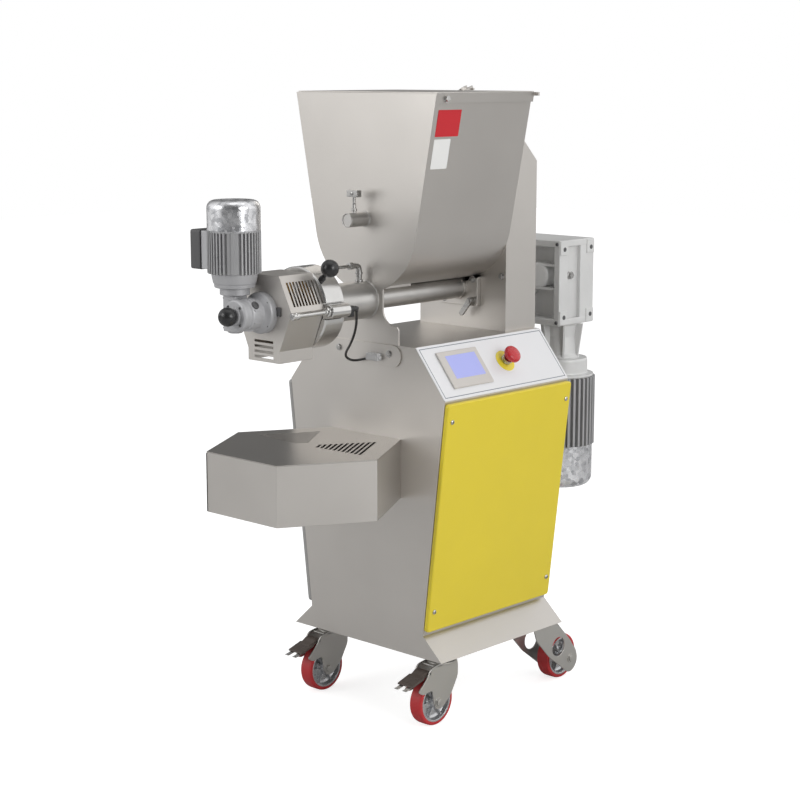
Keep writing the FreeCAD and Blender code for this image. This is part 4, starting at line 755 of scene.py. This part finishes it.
gearUnit = {"front": -442.5, "hub": 39.5, "flange": 50.0, "face": -348.7, "centre": (-40, -403)}
hubLine = [(0, -447), (17, -447), (20.5, -446), (22, -444), (22, gearUnit["front"]), (34, -442.2),
           (37.6, -441), (gearUnit["hub"], -438), (gearUnit["hub"], -432), (36.6, -429), (36.2, -418),
           (38.6, -415), (gearUnit["hub"], -412), (gearUnit["hub"], -392), (36.4, -389), (36.4, -377), (40.6, -373),
           (48.6, -368), (gearUnit["flange"], -364), (gearUnit["flange"], gearUnit["face"]),
           (0, gearUnit["face"])]
unitShells = [
    aroundBarrel(hubLine, 72, 0.5),
    blockShell((-61.5, -424.5, 1041), (-18.5, -381.5, 1128), 2.4, 6.0),
    uprightLathe([(0, 1036.5), (15, 1036.5), (18, 1038.5), (18, 1041.5), (0, 1041.5)],
                 gearUnit["centre"], 40, 0.6),
    blockShell((-50, -427, 1050), (2, -379, 1118), 3.0, 8.0),
    uprightLathe([(0, 1127), (24, 1127), (24, 1129), (0, 1129)], gearUnit["centre"], 40, 0.3),
]
for angle in np.radians([20, 65, 115, 160, 205, 250, 290, 335]):
    # cooling ribs: short bars along the hub, standing 2 mm off it
    away = np.array([math.cos(angle), 0, math.sin(angle)])
    unitShells.append(prismShell(rectangle((-410.5, -2.2), (-392.5, 2.2)), 36, 41.6, (0, 0, barrel["high"]),
                                 toBack, np.cross(away, toBack), 0.6, 0.8))
makePiece("cutterGearbox", unitShells, "cast", "cutting_unit", ("cutter_gearbox",))

unitBolts = []
for across in (-33, 33):
    for upward in (-26, 26):
        unitBolts.append(socketShell((across, gearUnit["face"] - 15.2, barrel["high"] + upward),
                                     toFront, 6.6, 6.2))
for angle in np.radians([45, 135, 225, 315]):
    unitBolts.append(socketShell((29.5 * math.cos(angle), -441.9, barrel["high"] + 29.5 * math.sin(angle)),
                                 toFront, 3.6, 3.0))
for back in (-419, -387):
    for high in (1049, 1120):
        unitBolts.append(socketShell((-61.3, back, high), toLeft, 3.2, 2.6))
makePiece("cutterGearboxScrews", unitBolts, "darkGrey", "cutting_unit")

plugShells = [latheShell([(0, -2), (10, -2), (10, 3), (8.6, 4.4), (6, 4.4), (6, 2.4), (0, 2.4)],
                         (30, -403, 1108), (1, 0, 0.75), 28, 0.4),
              blockShell((42, -352.6, 1079), (62, -348.5, 1101), 1.2)]
makePiece("cutterGearboxPlug", plugShells, "darkGrey", "cutting_unit")

adjuster = {"centre": -462.5, "radius": 23.0}
adjusterLine = [(0, -14), (11.8, -14)]
adjusterLine += [(adjuster["radius"] * math.sin(angle), adjuster["radius"] * math.cos(angle))
                 for angle in np.linspace(np.radians(150), 0, 30)[:-6]]
adjusterLine += [(6.4, 22.0), (5.9, 21.0), (0, 20.6)]
makePiece("adjusterKnob", latheShell(adjusterLine, (0, adjuster["centre"], barrel["high"]), toFront, 64),
          "black", "adjuster", ("adjuster_knob",))
print("cutter unit made")


# Motors: a finned stator between a flanged bell and a zinc fan cover

def finnedShell(motor, finsEach, spread):
    # radius = fin on each fin and root between fins, in groups at four bearings; between the groups
    # the wall is smooth at the radius flat, with one low rib in its middle
    outer, root, flat, low, high = [motor[key] for key in ("fin", "root", "flat", "low", "high")]
    groups = (0, 90, 180, 270)
    bearings = []
    radii = []
    pitch = 2 * spread / finsEach
    for bearing in groups:
        for index in range(finsEach):
            middle = bearing - spread + (index + 0.5) * pitch
            bearings += [middle - 0.27 * pitch, middle - 0.20 * pitch, middle + 0.20 * pitch,
                         middle + 0.27 * pitch]
            radii += [root, outer, outer, root]
        between = bearing + 180 / len(groups)
        free = 180 / len(groups) - spread
        if free > 2:
            rib = 0.22 * free
            bearings += [between - 0.92 * free, between - 0.8 * free, between - rib - 0.6, between - rib,
                         between + rib, between + rib + 0.6, between + 0.8 * free, between + 0.92 * free]
            radii += [root, flat, flat, outer, outer, flat, flat, root]
    t = np.radians(np.array(bearings))
    radii = np.array(radii, float)
    steps = np.array([(0.93, low), (1.0, low + 1.2), (1.0, high - 1.2), (0.93, high)])
    ringPoints = np.stack([np.cos(t), np.sin(t)], 1) * radii[:, None]
    grid = np.zeros((len(steps), len(t), 3))
    grid[:, :, :2] = steps[:, 0][:, None, None] * ringPoints[None]
    grid[:, :, 2] = steps[:, 1][:, None]
    return gridShell(grid + np.array([*motor["centre"], 0]), wrapCols=True, capRows=True)


motor = {"centre": gearUnit["centre"], "fin": 64.5, "root": 56.5, "flat": 61.5, "low": 1180.0, "high": 1284.0}
bellLine = [(0, 1128.5), (33, 1128.5), (36, 1129.5), (36, 1146), (46, 1146.2), (48.5, 1147.4), (49.6, 1155),
            (51.6, 1158), (54.5, 1172), (56, 1181), (0, 1181)]
# the stator's darker finish is painted shade between its fins
makePiece("cutterStator", finnedShell(motor, 7, 29), "shadedCastFins", "cutting_unit",
          ("cutter_motor",), 25)
makePiece("cutterBell", [uprightLathe(bellLine, motor["centre"], 64, 0.8),
                         uprightLathe([(0, 1277), (58, 1277), (63.4, 1279), (63.4, 1284), (0, 1284)],
                                      motor["centre"], 64, 0.5),
                         blockShell((-120.3, -438.5, 1187.5), (-92, -367.5, 1278.6), 2.0, 5.0)],
          "cast", "cutting_unit")
lidBox = {"low": (-156.3, -441, 1185.4), "high": (-120.6, -365, 1280.6)}
lidOutline = rectangle(lidBox["low"][1:], lidBox["high"][1:])
makePiece("terminalLid", [sidePrism(lidOutline, lidBox["low"][0], lidBox["high"][0], 4.0, 6.0, 4),
                          sidePrism(lidOutline, -122.4, -120.2, 0.5, 6.0)],
          "darkGrey", "cutting_unit", ("terminal_lid",))


def coverShell(centre, start, length, radius, corner, direction):
    # a deep-drawn cover: straight skirt, round shoulder of the given radius, flat end with a shallow dish
    arc = np.radians(np.linspace(0, 90, 9))
    line = [(radius - 3, 0), (radius, 0), (radius + 0.2, 1), (radius, 2.4), (radius, length - corner)]
    line += [(radius - corner + corner * math.cos(angle), length - corner + corner * math.sin(angle))
             for angle in arc[1:]]
    line += [(radius * 0.62, length), (radius * 0.58, length - 1.6), (0, length - 1.6)]
    return latheShell([(0, 0.4)] + line, (*centre, start), direction, 72)


makePiece("cutterFanCover", coverShell(motor["centre"], 1283.0, 71.0, 64.1, 19.0, toTop), "zincCap",
          "cutting_unit", ("cutter_fan_cover",))

drive = {"centre": (100, 679), "fin": 95.0, "root": 82.0, "flat": 92.0, "low": 630.0, "high": 822.0}
# the stator's darker finish is painted shade between its fins
makePiece("driveStator", finnedShell(drive, 9, 42), "shadedCastFins", stands=("drive_motor",),
          sharp=25)
driveBell = [(0, 821), (88, 821), (90, 824), (90, 828), (74, 830), (73, 834), (73, 866), (71, 871.5),
             (50, 872.5), (0, 872.5)]
makePiece("driveBell", uprightLathe(driveBell, drive["centre"], 80, 1.0), "gear")
makePiece("driveFanCover", coverShell(drive["centre"], 630.4, 118.0, 89.8, 27.0, toFloor), "zincCap",
          stands=("drive_fan_cover",))
print("motors made")


# Rear gear unit

gear = {"low": (-115, 603, 967), "high": (150, 756, 1200), "frame": 18}
gearLow, gearHigh = gear["low"], gear["high"]
gearShells = [
    blockShell((-113, 648, 969), (138, 755.6, 1198), 3.0, 6.0),
    blockShell((*gearLow[:2], gearHigh[2] - gear["frame"]), gearHigh, 3.0, 4.0),
    blockShell(gearLow, (*gearHigh[:2], gearLow[2] + gear["frame"]), 3.0, 4.0),
    blockShell((-114.6, 603.4, 980), (-97, 755.4, 1187), 3.0, 3.0),
    blockShell((130, 603.4, 980), (149.5, 640, 1187), 3.0, 3.0),
    blockShell((130, 695, 980), (149.5, 755.4, 1187), 3.0, 3.0),
]
for back, high in ((604.5, 1160), (604.5, 969), (721, 1160), (721, 969)):
    # raised pads round the four screws of the side
    gearShells.append(blockShell((136, back, high), (153, back + 33, high + 38), 1.8, 4.0))
for high in (1066, 1131):
    # ribs inside the front recess
    gearShells.append(blockShell((-97, 611, high - 3.5), (131, 650, high + 3.5), 1.2, 1.0))
for across in (-40, 20):
    gearShells.append(blockShell((across - 3, 617, 985), (across + 3, 650, 1184), 1.2, 1.0))
gearShells.append(latheShell([(0, 609), (29, 609), (33.6, 611), (36, 614), (36, 650), (0, 650)],
                             (66, 0, 1101), toBack, 56, 0.8))
gearShells.append(aroundBarrel([(0, 497.2), (56, 497.2), (58, 500), (58, 512), (52, 516), (50, 560),
                                (52, 620), (52, 650), (0, 650)], 72, 1.0))
gearShells.append(uprightLathe([(0, 871.5), (50, 871.5), (50, 876), (44, 884), (41, 930), (44, 962),
                                (50, 968), (0, 968)], drive["centre"], 56, 1.0))
for bearing in (0, 60, 120, 180, 240, 300):
    # tapered webs from the neck to the housing
    away = np.array([math.cos(math.radians(bearing - 45)), math.sin(math.radians(bearing - 45)), 0])
    outline = [(38, 871.5), (50, 871.5), (64, 968), (38, 968)]
    gearShells.append(prismShell(outline, -3.5, 3.5, (*drive["centre"], 0), away, toTop, 1.2))
makePiece("driveGearbox", gearShells, "gear", stands=("drive_gearbox",))
gearScrews = []
for back, high in ((621, 1176), (621, 990), (738, 1176), (738, 990)):
    screwLine = [(0, 0.9), (2.6, 0.9), (3.0, 1.5), (5.2, 1.4), (6.0, 0.8), (6.2, -0.6), (0, -0.6)]
    gearScrews.append(latheShell(screwLine, (153.0, back, high), toRight, 28))
for across, high in ((-104, 1190), (140.4, 1190), (-104, 976), (140.4, 976)):
    gearScrews.append(socketShell((across, 603.2, high), toFront, 5.0, 3.6))
makePiece("driveGearboxScrews", gearScrews, "darkGrey")
plug = [(0, 137.5), (12, 137.5), (12, 141), (9.6, 142), (9.6, 147), (8.4, 148.4), (0, 148.4)]
makePiece("driveGearboxPlug", latheShell(plug, (0, 661, 1102), toRight, 6), "bolt")
print("drive made")


# Seam of the fan box at its front left corner: a thin near-black rod, painted shade in the seam's gap

fanBox = {"side": 247.5, "middle": -214.34, "low": 588.0, "high": 739.0}
seamFoot = (-fanBox["side"] / 2 - 0.3, fanBox["middle"] * 2 - 0.35)
seam = [(*seamFoot, high) for high in (fanBox["low"] + 1, 660, fanBox["high"] - 4)]
makePiece("fanBoxSeamShade", tubeShell(seam, 1.1, 8, 2), "gap")


# Castors: forks pressed from sheet, with two-part brake pedals, and cast wheels with red treads

castor = {"side": 200.0, "frontBack": 33.0, "rearBack": 549.0, "swivel": 71.0, "radius": 62.5, "gap": 22.0,
          "rearGap": 46.0, "sheet": 4.0}
forkOutline = [(33, 164), (104, 164), (108, 150), (108, 118), (82, 73), (54, 48), (40, 43), (26, 45),
               (17, 60), (10, 100), (-25, 95), (-39, 104), (-38, 110), (-12, 134), (8, 160)]
rearOutline = [(390, 176.4), (489, 176.4), (506, 158.5), (542, 121.5), (573, 83), (580, 61), (577, 44),
               (567, 31), (554, 24), (540, 24), (459, 84), (402, 143)]
window = {"back": 496.0, "high": 107.0, "radius": 26.8}


def windowPlate(outline, start, thick, rounding):
    # a plate with a round window: on each bearing from the window's middle, the rim point lies
    # the radius away and the outer point where the ray meets the outline, at s = cross(a, e) / cross(ray, e)
    outline = softened(outline, rounding, closed=True, steps=5)
    middle = np.array([window["back"], window["high"]])
    corners = np.arctan2(outline[:, 1] - middle[1], outline[:, 0] - middle[0])
    bearings = np.unique(np.concatenate([corners, np.linspace(-np.pi, np.pi, 64, endpoint=False)]))
    edges = np.roll(outline, -1, 0) - outline
    inner, outer = [], []
    for bearing in bearings:
        ray = np.array([math.cos(bearing), math.sin(bearing)])
        away = outline - middle
        across = ray[0] * edges[:, 1] - ray[1] * edges[:, 0]
        across[np.abs(across) < 1e-9] = 1e-9
        reach = (away[:, 0] * edges[:, 1] - away[:, 1] * edges[:, 0]) / across
        part = (away[:, 0] * ray[1] - away[:, 1] * ray[0]) / across
        hits = reach[(reach > 0) & (part > -1e-6) & (part < 1 + 1e-6)]
        outer.append(middle + ray * hits.min())
        inner.append(middle + ray * window["radius"])
    inner, outer = np.array(inner), np.array(outer)
    away = outer - middle
    trim = outer - away / np.linalg.norm(away, axis=1)[:, None] * 0.7
    wide = middle + (inner - middle) * (1 + 0.7 / window["radius"])
    rows = []
    for line, depth in ((inner, 0.7), (wide, 0), (trim, 0), (outer, 0.7), (outer, thick - 0.7), (trim, thick),
                        (wide, thick), (inner, thick - 0.7)):
        rows.append(np.column_stack([np.full(len(line), start + depth), line]))
    return gridShell(np.stack(rows), wrapRows=True, wrapCols=True)


def axleShells(middle, back, half):
    reach = half + 5
    shells = [latheShell([(0, -reach), (4.9, -reach), (4.9, reach), (0, reach)],
                         (middle, back, castor["radius"]), toRight, 24)]
    for sign in (-1, 1):
        shells.append(hexShell((middle + sign * half, back, castor["radius"]), (sign, 0, 0), 9.6, 5.4, 12.5))
    return shells


for name, sign in (("left", -1), ("right", 1)):
    middle = sign * castor["side"]
    crown = [(0, 156), (22, 156), (36.4, 157.6), (38, 160), (38, 163.4), (35, 165.6), (8.2, 165.6),
             (7.9, 166), (7.9, 174.8), (0, 174.8)]
    forkShells = [sidePrism(forkOutline, start, start + castor["sheet"], 0.9, 9.0)
                  for start in (middle - castor["gap"] - castor["sheet"], middle + castor["gap"])]
    forkShells += axleShells(middle, castor["frontBack"], 26)
    forkShells.append(uprightLathe(crown, (middle, castor["swivel"]), 56, 0.8))
    forkShells.append(blockShell((middle - 26, 22, 156), (middle + 26, 98, 161), 1.6, 8.0))
    forkShells.append(latheShell([(0, -26), (3, -26), (3, 26), (0, 26)], (middle, 2, 146), toRight, 20))
    makePiece("fork" + name.capitalize(), forkShells, "zincPlate", "castor_" + name,
              ("fork_front_" + name,))
    rootLine = [(8, 150.6), (-8, 150.4), (-20, 143), (-34, 139.4), (-34, 132.6), (-16, 136), (8, 141.4)]
    padLine = [(-20, 142), (-62, 129.4), (-66.2, 127), (-66.4, 124.2), (-63, 123.2), (-20, 135.2)]
    pedalShells = [
        sidePrism(rootLine, middle - 19.8, middle + 19.8, 1.1, 2.0),
        sidePrism(padLine, middle - 25.8, middle + 25.8, 1.4, 2.4),
    ]
    for index in range(7):
        # low grip ribs across the pad
        back = -26 - index * 5.6
        high = 142.2 + (back + 20) * 0.3
        ribLine = [(back, high - 1.5), (back - 2.2, high - 2.2), (back - 2.2, high - 0.1), (back, high + 0.6)]
        pedalShells.append(sidePrism(ribLine, middle - 21, middle + 21, 0.3))
    makePiece("pedal" + name.capitalize(), pedalShells, "pedal", "pedal_" + name,
              ("brake_pedal_" + name,))
    leverLine = [(-40, 130.4), (-60, 124.4), (-80, 119.9), (-84.5, 120.4), (-84.5, 118), (-80, 117.2),
                 (-60, 121.6), (-40, 127)]
    leverShells = [sidePrism(leverLine, middle + start, middle + start + 12, 0.8, 1.6) for start in (-20, 8)]
    leverShells.append(blockShell((middle - 20, -58, 122.6), (middle + 20, -46, 125.4), 0.7, 1.0))
    makePiece("releaseLever" + name.capitalize(), leverShells, "bolt", "pedal_" + name)

rearShells = []
for sign in (-1, 1):
    middle = sign * castor["side"]
    rearShells += [windowPlate(rearOutline, start, castor["sheet"], 8.0)
                   for start in (middle - castor["rearGap"] - castor["sheet"], middle + castor["rearGap"])]
    rearShells += axleShells(middle, castor["rearBack"], 50)
    for start, end in ((-46, -20.4), (20.4, 46)):
        # spacers between the wheel's hub and the side plates
        spacer = [(4, start), (11, start), (12, start + 1), (12, end - 1), (11, end), (4, end)]
        rearShells.append(latheShell(spacer, (middle, castor["rearBack"], castor["radius"]), toRight, 36))
    rearShells.append(blockShell((middle - 50, 390, 176.5), (middle + 50, 489, 181.4), 1.0, 3.0))
makePiece("rearForks", rearShells, "zincPlate", stands=("rear_castors",))

treadLine = [(52.8, -19), (58.6, -19), (61.2, -17.6), (62.3, -14), (62.45, 0), (62.3, 14), (61.2, 17.6),
             (58.6, 19), (52.8, 19)]
wheelLine = [(5.06, -20), (12.5, -20), (14.2, -18.4), (16, -8), (24, -5.4), (38, -5.4), (44.5, -8),
             (47.6, -17.6), (48.6, -19.3), (52.8, -19.3), (53.2, -18), (53.2, 18), (52.8, 19.3),
             (48.6, 19.3), (47.6, 17.6), (44.5, 8), (38, 5.4), (24, 5.4), (16, 8), (14.2, 18.4),
             (12.5, 20), (5.06, 20)]
for name in ("front_left", "front_right", "rear_left", "rear_right"):
    end, side = name.split("_")
    body = "wheel_" + name
    centre = (castor["side"] if side == "right" else -castor["side"], castor[end + "Back"], castor["radius"])
    makePiece("tread_" + name, latheShell(treadLine, centre, toRight, 80, 1.2), "tread", body,
              ("tyre_" + name,))
    hubShells = [latheShell(wheelLine, centre, toRight, 72, 0.8)]
    for bearing in np.radians(range(0, 360, 60)):
        # six ribs on each face of the web
        away = np.array([0, math.cos(bearing), math.sin(bearing)])
        hubShells.append(prismShell(rectangle((13, -1.8), (46.5, 1.8)), -14, 14, centre, away,
                                    np.cross(toRight, away), 0.8))
    makePiece("wheelHub_" + name, hubShells, "hub", body, ("hub_" + name,))
print("castors made")


# Floor, backdrop and light

def stagePlane(name, size, place, turn, material):
    # a flat square of the given half size
    points = np.array([(-1, -1, 0), (1, -1, 0), (1, 1, 0), (-1, 1, 0)], float) * size
    mesh = bpy.data.meshes.new(name)
    mesh.from_pydata(points.tolist(), [], [[0, 1, 2, 3]])
    plane = bpy.data.objects.new(name, mesh)
    bpy.context.scene.collection.objects.link(plane)
    plane.location = place
    plane.rotation_euler = turn
    mesh.materials.append(material)


def floorMaterial():
    # pale floor: what the camera sees is lifted to white, the contact shadow stays
    material, tree, shader = newMaterial("floorPale")
    path = addNode(tree, "LightPath")
    lift = addMath(tree, "MULTIPLY", path.outputs["Is Camera Ray"], studio["floorLift"])
    grey = studio["floorGrey"]
    fill(tree, shader, {"Base Color": (grey, grey, grey, 1), "Roughness": 0.9, "Specular IOR Level": 0.0,
                        "Emission Color": (1, 1, 1, 1), "Emission Strength": lift})
    return material


studio = {"bright": 1.06, "dark": 0.14, "floorGrey": 0.62, "floorLift": 0.75}
stagePlane("studioFloor", 14, (0, 0, 0), (0, 0, 0), floorMaterial())

world = bpy.data.worlds.new("studio")
bpy.context.scene.world = world
world.use_nodes = True
tree = world.node_tree
tree.nodes.clear()
white = addNode(tree, "Background", {"Color": (1, 1, 1, 1), "Strength": 1.0})
coords = addNode(tree, "TexCoord")
apart = addNode(tree, "SeparateXYZ", {0: coords.outputs["Generated"]})
# two soft screens face each other: light grows with x y + 0.2 y,
# so it comes from the front left and the back right
crossed = addMath(tree, "MULTIPLY", apart.outputs["X"], apart.outputs["Y"])
leaning = addMath(tree, "MULTIPLY_ADD", apart.outputs["Y"], 0.2, crossed)
ramp = addRange(tree, leaning, studio["dark"], studio["bright"], -0.42, 0.36)
ramp.node.interpolation_type = "SMOOTHSTEP"
room = addNode(tree, "Background", {"Color": (1, 1, 1, 1), "Strength": ramp})
path = addNode(tree, "LightPath")
seen = addNode(tree, "MixShader", {0: path.outputs["Is Camera Ray"], 1: room.outputs[0], 2: white.outputs[0]})
addNode(tree, "OutputWorld", {0: seen.outputs[0]})

lamps = {
    "keyLamp": {"place": (-1.6, -4.2, 2.6), "aim": (0, -0.1, 0.9), "size": 2.4, "power": 42.0},
    "sideLamp": {"place": (4.2, -0.6, 2.2), "aim": (0, 0, 0.9), "size": 2.4, "power": 62.0},
    "topLamp": {"place": (0.4, -0.4, 4.2), "aim": (0, 0, 0.9), "size": 2.6, "power": 10.0},
}
for name, lamp in lamps.items():
    data = bpy.data.lights.new(name, "AREA")
    data.shape = "DISK"
    data.size = lamp["size"]
    data.energy = lamp["power"]
    item = bpy.data.objects.new(name, data)
    bpy.context.scene.collection.objects.link(item)
    item.location = lamp["place"]
    aim = np.array(lamp["aim"]) - np.array(lamp["place"])
    item.rotation_euler = (math.acos(-aim[2] / np.linalg.norm(aim)), 0, math.atan2(aim[0], -aim[1]) + math.pi)
bpy.context.scene.view_settings.view_transform = "Standard"
print("studio lit")

bpy.context.view_layer.update()
